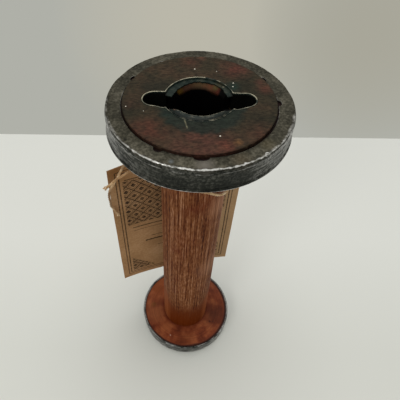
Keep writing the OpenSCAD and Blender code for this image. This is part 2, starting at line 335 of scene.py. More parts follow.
def makeTwineTree(material):
    tree = bpy.data.node_groups.new("laidTwine", "GeometryNodeTree")
    interface = tree.interface
    interface.new_socket(name="Route", in_out="INPUT", socket_type="NodeSocketGeometry")
    for name in ("Ply radius", "Lay radius", "Turn length", "Hair length", "Hair radius",
                 "Hair density", "Fine step", "Waver", "Fray"):
        interface.new_socket(name=name, in_out="INPUT", socket_type="NodeSocketFloat")
    for name in ("Plies", "Seed"):
        interface.new_socket(name=name, in_out="INPUT", socket_type="NodeSocketInt")
    interface.new_socket(name="Twine", in_out="OUTPUT", socket_type="NodeSocketGeometry")
    given = addNode(tree, "NodeGroupInput").outputs

    # each ply is a copy of the route, turned about it as it goes along
    fine = addNode(tree, "GeometryNodeResampleCurve",
                   {"Curve": given["Route"], "Length": given["Fine step"]}, mode="LENGTH")
    copies = addNode(tree, "GeometryNodeDuplicateElements",
                     {"Geometry": fine, "Amount": given["Plies"]}, domain="SPLINE")
    along = addNode(tree, "GeometryNodeSplineParameter")
    turns = addNode(tree, "ShaderNodeMath", {0: along.outputs["Length"], 1: given["Turn length"]},
                    operation="DIVIDE")
    share = addNode(tree, "ShaderNodeMath", {0: copies.outputs["Duplicate Index"], 1: given["Plies"]},
                    operation="DIVIDE")
    whole = addNode(tree, "ShaderNodeMath", {0: turns, 1: share}, operation="ADD")
    angle = addNode(tree, "ShaderNodeMath", {0: whole, 1: math.tau}, operation="MULTIPLY")
    tangent = addNode(tree, "GeometryNodeInputTangent")
    aside = addNode(tree, "ShaderNodeVectorRotate",
                    {"Vector": addNode(tree, "GeometryNodeInputNormal"), "Axis": tangent, "Angle": angle},
                    rotation_type="AXIS_ANGLE")
    loose = addNode(tree, "ShaderNodeMapRange",
                    {"Value": along.outputs["Factor"], "From Min": 0.93, "From Max": 1.0, "To Min": 0.0,
                     "To Max": given["Fray"]})
    spread = addNode(tree, "ShaderNodeMath", {0: given["Lay radius"], 1: loose}, operation="ADD")
    offset = addNode(tree, "ShaderNodeVectorMath", {0: aside, "Scale": spread}, operation="SCALE")
    drift = addNode(tree, "ShaderNodeTexNoise", {"Scale": perMm(2.2), "Detail": 1.0})
    centred = addNode(tree, "ShaderNodeVectorMath", {0: drift.outputs["Color"], 1: (0.5, 0.5, 0.5)},
                      operation="SUBTRACT")
    wander = addNode(tree, "ShaderNodeVectorMath", {0: centred, "Scale": given["Waver"]}, operation="SCALE")
    shift = addNode(tree, "ShaderNodeVectorMath", {0: offset, 1: wander}, operation="ADD")
    laid = addNode(tree, "GeometryNodeSetPosition", {"Geometry": copies, "Offset": shift})
    thick = addNode(tree, "ShaderNodeMapRange", {"Value": drift, "To Min": 0.75, "To Max": 1.25})
    sized = addNode(tree, "GeometryNodeSetCurveRadius", {"Curve": laid, "Radius": thick})
    ring = addNode(tree, "GeometryNodeCurvePrimitiveCircle", {"Resolution": 7, "Radius": given["Ply radius"]})
    body = addNode(tree, "GeometryNodeCurveToMesh",
                   {"Curve": sized, "Profile Curve": ring, "Scale": thick, "Fill Caps": True})

    # loose fibres stand out of the plies at random slants
    roots = addNode(tree, "GeometryNodeDistributePointsOnFaces",
                    {"Mesh": body, "Density": given["Hair density"], "Seed": given["Seed"]})
    slant = addNode(tree, "FunctionNodeRandomValue",
                    {"Min": (-1.1, -1.1, -1.1), "Max": (1.1, 1.1, 1.1), "Seed": given["Seed"]},
                    data_type="FLOAT_VECTOR")
    lean = addNode(tree, "ShaderNodeVectorMath",
                   {0: roots.outputs["Normal"], 1: slant.outputs[0]}, operation="ADD")
    aim = addNode(tree, "FunctionNodeAlignRotationToVector", {"Vector": lean}, axis="Z")
    fibre = addNode(tree, "GeometryNodeMeshCone",
                    {"Vertices": 3, "Radius Top": 0.0, "Radius Bottom": given["Hair radius"],
                     "Depth": given["Hair length"]}, fill_type="NONE")
    size = addNode(tree, "FunctionNodeRandomValue", {"Min": 0.25, "Max": 1.0, "Seed": given["Seed"]})
    hairs = addNode(tree, "GeometryNodeInstanceOnPoints",
                    {"Points": roots.outputs["Points"], "Instance": fibre.outputs["Mesh"], "Rotation": aim,
                     "Scale": size})
    both = addNode(tree, "GeometryNodeJoinGeometry", {"Geometry": body})
    tree.links.new(hairs.outputs["Instances"], both.inputs["Geometry"])
    real = addNode(tree, "GeometryNodeRealizeInstances", {"Geometry": both})
    dressed = addNode(tree, "GeometryNodeSetMaterial", {"Geometry": real, "Material": material})
    addNode(tree, "NodeGroupOutput", {"Twine": dressed})
    return tree


def routeLength(route, closed):
    ends = route[1:] + route[:1] if closed else route[1:]
    return sum((b - a).length for a, b in zip(route, ends))


def layTwine(name, route, tree, closed=False, fray=0.0, seed=1):  # lays twine along a route in millimetres
    curve = bpy.data.curves.new(name, "CURVE")
    curve.dimensions = "3D"
    spline = curve.splines.new("POLY")
    spline.points.add(len(route) - 1)
    for point, place in zip(spline.points, route):
        point.co = (*(place * mm), 1)
    spline.use_cyclic_u = closed
    line = bpy.data.objects.new(name + "Line", curve)
    bpy.context.scene.collection.objects.link(line)
    length = routeLength(route, closed)
    surfacePerMm = twine["plies"] * math.tau * twine["plyRadius"]
    wholeTurns = max(1, round(length / twine["turnLength"]))
    values = {"Ply radius": twine["plyRadius"] * mm, "Lay radius": twine["layRadius"] * mm,
              "Turn length": length / wholeTurns * mm,
              "Hair length": twine["hairLength"] * mm, "Hair radius": twine["hairRadius"] * mm,
              "Hair density": twine["hairsPerMm"] / surfacePerMm / mm ** 2,
              "Fine step": twine["fineStep"] * mm, "Waver": twine["waver"] * mm, "Fray": fray * mm,
              "Plies": twine["plies"], "Seed": seed}
    modifier = line.modifiers.new("laid", "NODES")
    modifier.node_group = tree
    for item in tree.interface.items_tree:
        if item.name in values:
            modifier[item.identifier] = values[item.name]
    shown = line.evaluated_get(bpy.context.evaluated_depsgraph_get())
    mesh = bpy.data.meshes.new_from_object(shown)
    bpy.data.objects.remove(line)
    mesh.shade_smooth()
    piece = bpy.data.objects.new(name, mesh)
    bpy.context.scene.collection.objects.link(piece)
    return piece


twineShade = [  # painted shade: darker brown where the twine lies in shadow
    ((-43.7, 1.2, 139), 10, 4, "#74522f", 0.75), ((-32.5, 0, 167), 6.5, 3, "#7e5a34", 0.75)
]


def hempTwineMaterial():  # hemp twine, spun and laid: dry matt tan fibre, greyer in the hollows
    material, tree, shader, place = startMaterial("hempTwine")
    fibres = addNode(tree, "ShaderNodeTexNoise", {"Vector": place, "Scale": perMm(0.35), "Detail": 3.0})
    patches = addNode(tree, "ShaderNodeTexNoise", {"Vector": place, "Scale": perMm(6), "Detail": 2.0})
    mixed = addNode(tree, "ShaderNodeMath", {0: fibres, 1: 0.55, 2: patches}, operation="MULTIPLY_ADD")
    fibre = addNode(tree, "ShaderNodeValToRGB", {"Fac": mixed},
                    stops=[(0.5, "#84603a"), (0.72, "#c09868"), (0.95, "#e6cda4")])
    # painted shade on the twine where it lies in shadow
    colour = addSpots(tree, place, fibre, twineShade)
    finishMaterial(tree, shader, {"Base Color": colour, "Roughness": 0.9, "Sheen Weight": 0.25,
                                  "Specular IOR Level": 0.2}, fibres, 0.06)
    return material


def makeLoop(tree):
    loop = []
    for k in range(twine["loopPoints"]):
        at = loopOut[0][0] + 360 * k / twine["loopPoints"]
        out, turn = lookUp(loopOut, at), math.radians(at)
        loop.append((out * math.cos(turn), out * math.sin(turn), lookUp(loopUp, at)))
    settle(layTwine("twineLoop", smoothed(loop, True), tree, True, seed=3), "twine", "twine", "twine_loop")


def makeKnot(tree):  # one closed turn through itself, like a drawn-up overhand knot
    lump = []
    for k in range(knot["points"]):
        t = math.tau * k / knot["points"]
        x = knot["size"] * (math.sin(t) + 2 * math.sin(2 * t))
        y = knot["size"] * (-1.3 * math.sin(3 * t))
        z = knot["size"] * (math.cos(t) - 2 * math.cos(2 * t))
        lump.append(aboutAxis(x, y, z, knot["turn"]) + Vector(knot["at"]))
    settle(layTwine("twineKnot", lump, tree, True, seed=5), "twine", "twine", "twine_knot")


def makeTails(tree):
    for name, points, node, fray, seed in (("tailShort", tailShort, "twine_tail_short", 0.5, 7),
                                           ("tailLong", tailLong, "twine_tail_long", 0.35, 9)):
        route = smoothed(points)
        tail = layTwine(name, route, tree, fray=fray, seed=seed)
        settle(tail, "twine", "twine", node)
        round(routeLength(route, False) * mm, 3)


def makeBight(tree):  # a long ring round the loop and through the card's hole
    ring = arc((tag["bightOut"], tag["bightHigh"]), tag["bightRadius"], 0, 180, 10)
    ring += arc((tag["bightOut"], tag["bightLow"]), tag["bightRadius"], 180, 360, 10)
    route = [inTag(out, tag["holeSide"], height) for out, height in ring]
    settle(layTwine("tagBight", smoothed(route, True, 3), tree, True, seed=11), "tag", "twine", "tag_bight")


# The tag's own frame has its first axis out through the card, and its second along the card's width.
tag = {"turn": 103.9, "out": 18.2, "cup": 227.0, "left": 41.3, "width": 74.6, "height": 111.5, "low": 47.0,
       "thick": 0.5, "across": 84, "up": 110, "curledCorner": 1.1,
       "holeSide": 3.2, "holeHigh": 151.2, "holeRadius": 2.2, "punchFrom": 10, "punchTo": 26,
       "bightOut": 17.92, "bightRadius": 1.4, "bightLow": 152.6, "bightHigh": 159.5}


def inTag(out, side, height):
    return aboutAxis(out, side, height, tag["turn"])


twineTree = makeTwineTree(hempTwineMaterial())
makeLoop(twineTree)
makeKnot(twineTree)
makeTails(twineTree)
makeBight(twineTree)
print("twine laid")

# Sizes in millimetres and angles round the head in degrees. Each nick has its twelfth of a turn and how much
# wider it is. The profile has how far out from the wall, how deep and the step. The lap is how far the inner
# edge is pushed in. The tables from ridge on give how bright or dark the steel is, from 0 to 1: real rubbing
# with painted highlights and reflections on the ridge, the lower line, the wall and the curl, strongest in
# front, and painted shade on the rolled corner. The foot's wall and curl values are a painted reflection of
# the floor.
shield = {
    "depth": 11.1, "flange": 6.4, "sheet": 0.8, "curl": 0.75, "curlIn": 0.27, "around": 900, "bevel": 1.0,
    "footAside": 0.45, "outOfRound": 0.12, "swell": 0.55, "swellAt": 0, "lapWide": 3.2,
    "nickWidth": 1.9, "nickDepth": 1.35, "nicks": [(0, 1), (1, 1), (4, 1), (5, 1), (8, 1), (9, 1.6)],
    "chipAt": 309, "chipIn": 0.6, "chipRadius": 0.95, "chipRim": 0.16,
    "footWallSheen": 0.3, "footWallSideSheen": 0.16, "footCurlSheen": 0.36,
    "profile": [(-1.75, 0, 0.12), (-1.0, -0.04, 0.12), (-0.62, 0.38, 0.16), (-0.15, 1.25, 0.16),
                (0.02, 1.72, 0.16), (-0.01, 2.3, 0.3), (-0.02, 5, 0.6), (-0.03, 9.3)],
    "bevelByAngle": [(0, 0.6), (180, 0.5), (205, 0.55), (230, 0.75), (262, 1.0), (290, 0.7), (330, 0.5),
                     (360, 0.6)],
    "lap": [(0, 0), (200, 0.1), (226, 0.25), (245, 0.55), (262, 0.55), (282, 0.3), (295, 0), (360, 0)],
    "ridge": [(0, 0.12), (160, 0.08), (190, 0.2), (215, 0.45), (236, 0.62), (245, 0.95), (268, 0.95),
              (277, 0.72), (291, 1.0), (301, 0.62), (325, 0.48), (345, 0.25), (360, 0.12)],
    "lower": [(0, 0.15), (180, 0.25), (200, 0.5), (228, 0.5), (245, 0.38), (300, 0.38), (312, 0.52),
              (340, 0.55), (360, 0.15)],
    "wall": [(0, 0.05), (170, 0.05), (179, 0.42), (204, 0.42), (214, 0.34), (224, 0.27), (240, 0.17),
             (292, 0.17), (302, 0.27), (316, 0.33), (330, 0.4), (346, 0.44), (358, 0.05)],
    "rollShade": [(0, 0.1), (205, 0.1), (232, 0.5), (300, 0.5), (325, 0.1), (360, 0.1)],
    "curled": [(0, 0.5), (200, 0.5), (226, 1.0), (286, 1.0), (300, 0.75), (360, 0.5)]
}
# Dents in the rolled corner: angle round the head, width and depth
driveDents = [(256, 3.5, 0.2), (281, 1.6, 0.25), (300, 2.5, 0.15), (318, 4, 0.22), (335, 2.0, 0.3),
              (12, 3, 0.2), (60, 5, 0.25), (105, 3, 0.2), (150, 4, 0.25), (196, 2.2, 0.3), (222, 3, 0.18),
              (240, 1.5, 0.2)]
footDents = [(40, 3, 0.2), (130, 4, 0.25), (230, 2.5, 0.2), (300, 3, 0.2)]


def shieldSection(radius):  # (radius, depth below the flange's face), anticlockwise from the flange's edge
    inner, curlAt = radius - shield["flange"], shield["depth"] - shield["curl"]
    points = [(inner, 0.6), (inner, 0.2), (inner + 0.06, 0.06)]
    points += through([(inner + 0.2, 0, 0.5)] + [(radius + out, *rest) for out, *rest in shield["profile"]])
    points += arc((radius - shield["curlIn"], curlAt), shield["curl"], -71, 210, 16)
    return points + [(radius - 0.8, 9.6), (radius - 0.8, 1.5), (radius - 1.5, shield["sheet"])]


def makeShield(name, node, face, inward, seed, dents):
    # inward is the way from the flange's face to the curled edge: -1 at the drive end, 1 at the foot
    radius = halfWide(node) - shield["curl"] + shield["curlIn"]
    inner, lapWide = radius - shield["flange"], shield["lapWide"]

    def rubAndSheen(r, depth, x, y, at):  # how bright the steel is there, from real rubbing and painted highlights and reflections; less than 0 is painted shade
        point = (r, depth)
        swing = 0.2 * bumps(x, y, 0, 1.1, seed) + 0.12 * bumps(x, y, 0, 3.5, seed + 1)
        # the ridge's rubbed edge with a painted highlight on it, bright in front
        ridge = lookUp(shield["ridge"], at) * (1 + 0.7 * bumps(x, y, 0, 1.5, seed + 3))
        ridgeAt = (radius - shield["bevel"] + 0.1 + swing, 0.12 + swing * 0.5)
        wearAndSheen = ridge * bell(math.dist(point, ridgeAt), 0.42 + 0.3 * bumps(x, y, 0, 1.8, seed + 6))
        # a second painted highlight line, lower on the rolled corner
        lower = lookUp(shield["lower"], at) * (1 + 1.1 * bumps(x, y, 0, 2.6, seed + 4))
        wearAndSheen = max(wearAndSheen, lower * bell(math.dist(point, (radius, 1.75 + swing)), 0.17))
        # painted reflection on the wall, broad beside the front at the drive end; at the foot a painted
        # reflection of the floor, brighter towards the sides
        if inward < 0:
            wall, curled = lookUp(shield["wall"], at), lookUp(shield["curled"], at)
        else:
            wall = shield["footWallSheen"] + shield["footWallSideSheen"] * abs(x) / radius
            curled = shield["footCurlSheen"]
        streak = noise.noise(Vector((x / 3.5, y / 3.5, depth / 0.4 + seed)))
        wall *= (0.98 + 0.22 * streak) * (0.8 + 0.2 * bell(depth - 1.5, 2.5))
        wall *= 0.78 + 0.22 * rise(depth, 0.3, 1.3)
        wearAndSheen = max(wearAndSheen, wall * rise(r, radius - 2.2, radius - 1.4))
        # a painted highlight along the curl's edge
        curled *= 1 + 0.6 * bumps(x, y, 0, 3, seed + 8)
        wearAndSheen = max(wearAndSheen, curled * bell(math.dist(point, (radius + 0.3, 10.85)), 0.46))
        wearAndSheen = max(wearAndSheen, 0.33 * bell(r - inner, 0.25) * (depth < 0.5))
        chip = math.hypot(math.radians(at - shield["chipAt"]) * radius, r - radius + shield["chipIn"] + depth)
        wearAndSheen = max(wearAndSheen, 0.7 * bell(chip - shield["chipRadius"], shield["chipRim"]) * (depth < 2.5))
        # painted shade on the rolled corner between its bright lines, strongest in front
        rollShade = lookUp(shield["rollShade"], at) * (0.7 + 1.2 * bumps(x, y, 0, 2.2, seed + 7))
        return wearAndSheen - rollShade * bell(math.dist(point, (radius - 0.42, 0.75)), 0.4) * (1 - wearAndSheen)

    def shape(r, depth, angle):
        x, y, at = radius * math.cos(angle), radius * math.sin(angle), math.degrees(angle) % 360
        wearAndSheen = rubAndSheen(r, depth, x, y, at)
        less = shield["bevel"] - lookUp(shield["bevelByAngle"], at)
        r += less * bell(r - radius + shield["bevel"], 0.8) * max(0, 1 - depth / 1.6)
        atCorner = bell(math.dist((r, depth), (radius - 0.5, 0.8)), 1.3)
        jag = 0.12 * bumps(x, y, depth, 1.2, seed) + 0.08 * bumps(x, y, depth, 0.55, seed + 5)
        dent = sum(size * bell(math.remainder(angle - math.radians(way), math.tau) * radius, width)
                   for way, width, size in dents)
        r -= atCorner * (dent + abs(jag) * 0.4)
        depth += atCorner * (dent * 0.7 + jag)
        if r < inner + lapWide and depth < 1:
            r -= lookUp(shield["lap"], at) * (1 - (r - inner) / lapWide) * (inward < 0)
            near = min(abs(math.remainder(angle - math.tau * n / 12, math.tau)) / wider
                       for n, wider in shield["nicks"])
            share = near * inner / shield["nickWidth"]
            if share < 1:
                r += shield["nickDepth"] * math.sqrt(1 - share ** 2) * (1 - (r - inner) / lapWide)
        r += shield["outOfRound"] * (bumps(x, y, 0, 26, seed) - 0.4)
        r += shield["footAside"] * math.cos(angle) * (inward > 0)
        swell = shield["swell"] * bell(math.remainder(at - shield["swellAt"], 360), 28)
        r += swell * max(0, (r - inner) / shield["flange"]) * (inward < 0)
        depth += 0.05 * bumps(x, y, r, 9, seed + 2) * (depth < 9)
        return r, max(face + inward * depth, footFace), wearAndSheen

    piece = turned(name, shieldSection(radius), shield["around"], shape)
    settle(piece, "bobbin", "shield_steel", node)
    return piece


# The lifts are the faces' unevenness, by height and size
head = {"groove": 0.7, "tenon": 14.0, "wallGap": 0.85, "curlGap": 1.067, "around": 480, "chip": 0.5,
        "lifts": [(0.1, 24), (0.04, 4), (0.02, 1.2)], "asideFrom": 17, "asideTo": 25,
        "drive": {"proud": 1.4, "bevel": 0.35}, "foot": {"proud": -0.3, "bevel": 0.3}}
faceTop = driveFace + head["drive"]["proud"]
footTop = footFace + shield["depth"]


def headSection(radius, proud, bevel):  # (radius, depth below the shield's face), from the tenon's hole
    tenon, back, face = head["tenon"], shield["depth"], radius - shield["flange"] - head["groove"]
    wall, curl = radius - head["wallGap"], radius - head["curlGap"]
    points = through([(tenon, -proud, 0.7), (face - bevel, -proud, 0.25), (face, bevel - proud)])
    points += [(face, bevel - proud), (face, 0.4), (face, 0.85), (radius - 1.5, 0.85)]
    points += [(wall, 1.5), (wall, 9.15), (curl, 9.55), (curl, 10.7)]
    return points + between((curl - 0.4, back), (tenon, back), 0.8) + [(tenon, back)]


def makeHead(name, node, slot, face, inward, proud, bevel, seed):
    radius = halfWide(node) + head["wallGap"]
    edge = radius - shield["flange"] - head["groove"]

    def shape(r, depth, angle):
        x, y = r * math.cos(angle), r * math.sin(angle)
        lift = sum(high * bumps(x, y, 0, size, seed) for high, size in head["lifts"])
        chips = 0
        if depth < bevel - proud + 0.1:
            chips = max(0, bumps(x, y, 0, 2.2, seed + 3) - 0.15) * head["chip"] * bell(r - edge, 0.9)
            depth += 0.05 - lift + chips
            r -= chips
        if depth > 11:
            depth += 0.5 * lift - 0.03
        aside = shield["footAside"] * math.cos(angle) * (inward > 0)
        r += aside * rise(r, head["asideFrom"], head["asideTo"])
        return r, face + inward * depth, chips / head["chip"]

    piece = turned(name, headSection(radius, proud, bevel), head["around"], shape)
    settle(piece, "bobbin", slot, node)
    return piece


# The ears are the slot's round ends, with their radius and how far back they sit. A sag has its drop and its
# width. The lip has how far out and how far below the top. The shelf's edges have a radius by the angle.
liner = {
    "circle": 14.0, "shift": 0.7, "halfLength": 22.7, "rightEar": (3.95, 0.0), "leftEar": (4.25, 0.3),
    "rightSag": (2.0, 4.0), "leftSag": (1.3, 2.6), "sagAt": 14.2, "sheet": 0.6, "shelfSheet": 0.6,
    "gap": 0.05, "wallHeights": (196.6, 198.5, 200.5, 202.5, 203.6, 204.2), "top": 204.8,
    "lip": [(0.04, 0.22), (0.14, 0.06), (0.3, 0), (0.46, 0.06), (0.56, 0.22)],
    "cutFloor": 196.55, "cutTop": 210, "farHigh": 203.8, "nearHigh": 205.6, "shelfRows": 8, "shelfSteps": 100,
    "farEdge": [(14, 11.7), (31, 12.2), (41, 12.85), (65, 13.0), (90, 13.1), (101, 12.9), (114, 12.2),
                (130, 11.8), (152, 11.2), (166, 11.5)],
    "nearEdge": [(209, 13.6), (212, 12.9), (220, 12.1), (231, 11.35), (268, 11.5), (300, 11.6), (318, 12.05),
                 (330, 13.35), (332, 13.6)]
}


def keyhole(offset):  # outline of the recess, a circle crossed by a slot with round ends
    circle, shift = liner["circle"] + offset, liner["shift"]
    (right, rightY), (left, leftY) = liner["rightEar"], liner["leftEar"]
    rightEnd, leftEnd = liner["halfLength"] - right, liner["halfLength"] - left
    right, left = right + offset, left + offset
    corners = [(1, rightEnd, rightY + right), (-1, leftEnd, leftY + left),
               (-1, leftEnd, leftY - left), (1, rightEnd, rightY - right)]
    joins, edges = [], []
    for way, end, y in corners:
        x = way * math.sqrt(circle ** 2 - (y - shift) ** 2)
        joins.append(math.degrees(math.atan2(y - shift, x)) % 360)
        edges.append([(way * end + (x - way * end) * k / 6, y) for k in range(1, 6)])
    outline = arc((rightEnd, rightY), right, -90, 90, 24) + edges[0]
    outline += arc((0, shift), circle, joins[0], joins[1], 60) + edges[1][::-1]
    outline += arc((-leftEnd, leftY), left, 90, 270, 24) + edges[2]
    outline += arc((0, shift), circle, joins[2], joins[3], 60) + edges[3][::-1]
    return [(x, y - earSag(x, y)) for x, y in outline]


def earSag(x, y):  # the slot's lower edges are bent down where they meet the circle
    drop, width = liner["rightSag" if x > 0 else "leftSag"]
    past = abs(x) - liner["sagAt"]
    return (y < -1) * drop * bell(past, width if past > 0 else 1.6)


def lipRub(x, y):  # how far the lip is rubbed bare
    if y > 0:
        return 0.85 if x < 3 else 0.3 if x < 13.2 else 0.8
    if abs(x) > 13.2:
        return 0.5 if x < 0 else 0.62
    return 0.6 if 3 < x < 8 else 0.3


def linerWearAndSheen(x, y, z):  # rubbed bare on the lip; along the front shelf's bent edge rubbed bare and a painted sheen; less than 0 is a darker band
    out = math.hypot(x, y)
    if math.hypot(x, y - liner["shift"]) > liner["circle"] - 0.05 or abs(x) > 13.3:
        return bell(z - liner["top"], 0.17) * (lipRub(x, y) + 0.5 * bumps(x, y, 0, 2.5, 2))
    if y < 0 and z > liner["farHigh"]:
        past = out - lookUp(liner["nearEdge"], math.degrees(math.atan2(y, x)) % 360)
        # Along the front shelf's edge: bare metal and a painted sheen.
        bareAndSheen = 0.38 * bell(past, 0.2) + 0.2 * bell(past - 0.8, 0.6) * (1 + bumps(x, y, 0, 2, 3))
        return bareAndSheen - 0.7 * bell(out - 13.0, 0.3)
    return 0


def makeLiner():  # the wall of the recess with its rolled lip, and the shelf round the bore in two parts
    top, sheet, heights = liner["top"], liner["sheet"], liner["wallHeights"]
    section = [(0, z) for z in heights] + [(out, top - below) for out, below in liner["lip"]]
    section += [(sheet, heights[-1]), (sheet, heights[0])]
    loops = []
    for offset, z in section:
        loop = []
        for x, y in keyhole(offset):
            sway = 0.14 * bumps(x, y, 0, 6, 4) * bell(z - top, 3)
            lift = 0.1 * bumps(x, y, 0, 5, 8) * bell(z - top, 0.6) - 0.05 * bell(z - top, 0.6)
            loop.append((x * (1 + sway / 14), y + sway * 0.7, z + lift))
        loops.append(loop)
    far = makeShelf(liner["farEdge"], farHeight, 0.35)
    near = makeShelf(liner["nearEdge"], nearHeight, 0.12)
    piece = merged([skin("driveLiner", loops), far, near])
    wearAndSheen = piece.data.attributes.new("wearAndSheen", "FLOAT", "POINT")
    for vertex, spot in zip(piece.data.vertices, wearAndSheen.data):
        spot.value = linerWearAndSheen(*(vertex.co / mm))
    settle(piece, "bobbin", "liner_metal", "drive_liner")
    return piece


def farHeight(share, at):  # behind the bore the shelf is flat
    return liner["farHigh"]


def nearHeight(share, at):  # in front of the bore the shelf is bent up over the lip, and down at its ends
    (start, _), (end, _) = liner["nearEdge"][0], liner["nearEdge"][-1]
    ends = 0.8 * bell(at - start, 6) + 1.3 * bell(at - end, 11)
    return liner["nearHigh"] - 0.75 * share ** 1.5 - ends * (1 - 0.6 * share)


def makeShelf(edge, height, frayed):  # sheet from its broken edge out to the circle's wall
    start, end = edge[0][0], edge[-1][0]
    count, steps = liner["shelfRows"], liner["shelfSteps"]
    grids = []
    for drop in (0, liner["shelfSheet"]):
        rows = []
        for row in range(count + 1):
            line = []
            for k in range(steps + 1):
                at = start + (end - start) * k / steps
                turn = math.radians(at)
                outer = liner["circle"] + liner["shift"] * math.sin(turn) - 0.02
                inner = lookUp(edge, at) + frayed * bumps(math.cos(turn), math.sin(turn), 0, 0.09, 6)
                r = outer - max(0.04, outer - inner) * (1 - row / count)
                x, y = r * math.cos(turn), r * math.sin(turn)
                z = height(row / count, at) + 0.06 * bumps(x, y, 0, 2.5, 6)
                line.append((x, y, max(z - drop, barrel["top"] + 0.02)))
            rows.append(line)
        grids.append(rows)
    return plate("shelf", *grids)


barrel = {
    "radius": 15.875, "tenon": 13.95, "collar": 13.25, "bore": 11.1125, "bushBore": 11.5, "lipBore": 12.7,
    "top": 203.2, "mouth": 201.4, "foot": 0.3, "bushTop": 19.35, "lipTop": 1.15, "slotHalf": 4.55,
    "slotLong": 20, "around": 480, "stepUp": 1.4, "fibreWide": 0.4, "fibreLong": 55, "fibreDeep": 0.12,
    "swell": 0.4, "swellAt": 190, "swellFrom": 70
}


def barrelSection(low, high):  # low and high are the backs of the heads
    b = barrel
    section = between((b["radius"], low), (b["radius"], high), b["stepUp"])
    section += [(b["radius"], high), (b["tenon"], high), (b["tenon"], liner["cutFloor"])]
    section += [(b["collar"], liner["cutFloor"]), (b["collar"], b["top"])]
    section += through([(b["bore"], b["top"], 0.5), (b["bore"], b["top"] - 4, 8), (b["bore"], b["bushTop"])])
    section += [(b["bore"], b["bushTop"]), (b["bushBore"], b["bushTop"]), (b["bushBore"], b["lipTop"])]
    section += [(b["lipBore"], b["lipTop"]), (b["lipBore"], b["foot"])]
    return section + [(b["tenon"], b["foot"]), (b["tenon"], low)]


def makeBarrel():
    low, high = footFace + shield["depth"], driveFace - shield["depth"]
    b = barrel

    def shape(r, z, angle):
        if r < 15:  # the bore's mouth is worn wide behind, under the shelf's edge
            if r == b["bore"] and math.sin(angle) > 0:
                worn = min(lookUp(liner["farEdge"], math.degrees(angle)) + 0.1, b["collar"] - 0.12)
                r += (worn - r) * rise(z, b["mouth"], b["top"])
            return r, z, 0.5
        x, y = r * math.cos(angle), r * math.sin(angle)
        wide, long = b["fibreWide"], b["fibreLong"]
        fibre = noise.noise(Vector((x / wide, y / wide, z / long)))
        fibre += 0.7 * noise.noise(Vector((x / wide * 1.9 + 7, y / wide * 1.9, z / long * 2.2)))
        fibre += 0.5 * noise.noise(Vector((x / wide / 3, y / wide / 3 + 3, z / long / 2)))
        deep = b["fibreDeep"] * min(0.35, fibre) + 0.1 * bumps(x, y, z, 30, 5)
        swell = b["swell"] * bell(math.degrees(angle) - b["swellAt"], 22)
        deep += swell * max(0, (z - b["swellFrom"]) / (high - b["swellFrom"]))
        return r + deep - 0.08, z, 0.5 + 0.45 * fibre

    piece = turned("barrelWood", barrelSection(low, high), b["around"], shape)
    long, half = b["slotLong"], b["slotHalf"]
    corners = [(-long, -half), (long, -half), (long, half), (-long, half)]
    cut(piece, post("slot", corners, liner["cutFloor"], b["top"] + 1))
    settle(piece, "bobbin", "barrel_wood", "barrel")
    return piece


def makeCard():
    t = tag
    start, end = (math.asin(s / t["cup"]) for s in (t["left"] - t["width"], t["left"]))
    corner = (t["left"], t["low"] + t["height"])
    grids = []
    for side in (-1, 1):
        rows = []
        for row in range(t["up"] + 1):
            z = t["low"] + t["height"] * row / t["up"]
            line = []
            for k in range(t["across"] + 1):
                turn = start + (end - start) * k / t["across"]
                y = t["cup"] * math.sin(turn)
                ripple = 0.25 * bumps(0, y, z, 22, 3) + 0.05 * bumps(0, y, z, 5, 3)
                ripple -= t["curledCorner"] * bell(math.dist((y, z), corner), 7)
                radius = t["cup"] + side * t["thick"] / 2 + ripple
                line.append(inTag(t["out"] - t["cup"] + radius * math.cos(turn), radius * math.sin(turn), z))
            rows.append(line)
        grids.append(rows)
    piece = plate("hangTag", *grids)
    rim = [(t["holeSide"] + a, t["holeHigh"] + b) for a, b in arc((0, 0), t["holeRadius"], 0, 345, 23)]
    cut(piece, prism("punch", *([inTag(t[end], *p) for p in rim] for end in ("punchFrom", "punchTo"))))
    mapCard(piece.data)
    settle(piece, "tag", "card", "tag_card")
    return piece


def mapCard(mesh):  # a UV map in metres from the printed face's lower left corner, and the printed faces
    turn = math.radians(tag["turn"])
    layer = mesh.uv_layers.new(name="print")
    printed = mesh.attributes.new("printed", "FLOAT", "FACE")
    for face in mesh.polygons:
        outward = face.normal.x * math.cos(turn) + face.normal.y * math.sin(turn)
        printed.data[face.index].value = outward < -0.6
        for loop in face.loop_indices:
            x, y, z = mesh.vertices[mesh.loops[loop].vertex_index].co
            side = -x * math.sin(turn) + y * math.cos(turn)
            layer.data[loop].uv = (tag["left"] * mm - side, z - tag["low"] * mm)


# Marks on the steel: place, radius and softness in millimetres, colour and strength
wallMarks = [
    ((-23.5, -30.1, 198), 1.5, 1.5, "#858580", 0.5), ((-19.6, -32.9, 197), 1.4, 1.4, "#858580", 0.4),
    ((0.7, -38.3, 198.5), 0.9, 0.9, "#7c7c76", 0.5), ((4.1, -38.1, 197), 0.8, 0.8, "#7c7c76", 0.5),
    ((4.0, -38.1, 199.5), 0.7, 0.7, "#7c7c76", 0.4), ((12, -36.2, 199), 5, 5, "#1c1f1f", 0.6)
]
# The broad pale patches in front, from (1, -34.8) to (24, -24), are a painted highlight on the flange; the
# small ones are real marks.
flangeMarksAndHighlight = [  # without their height
    ((-27.9, -22.2), 1.1, 0.8, "#15150f", 0.8), ((-35.8, -10.5), 0.8, 0.5, "#15150f", 0.8),
    ((-10.8, -33.4), 1.3, 1.2, "#7d8285", 0.55), ((24, -24), 4, 3, "#5d5238", 0.35),
    ((1, -34.8), 4.5, 4, "#756f67", 0.9), ((14, -32), 5, 5, "#6a5a44", 0.35)
]


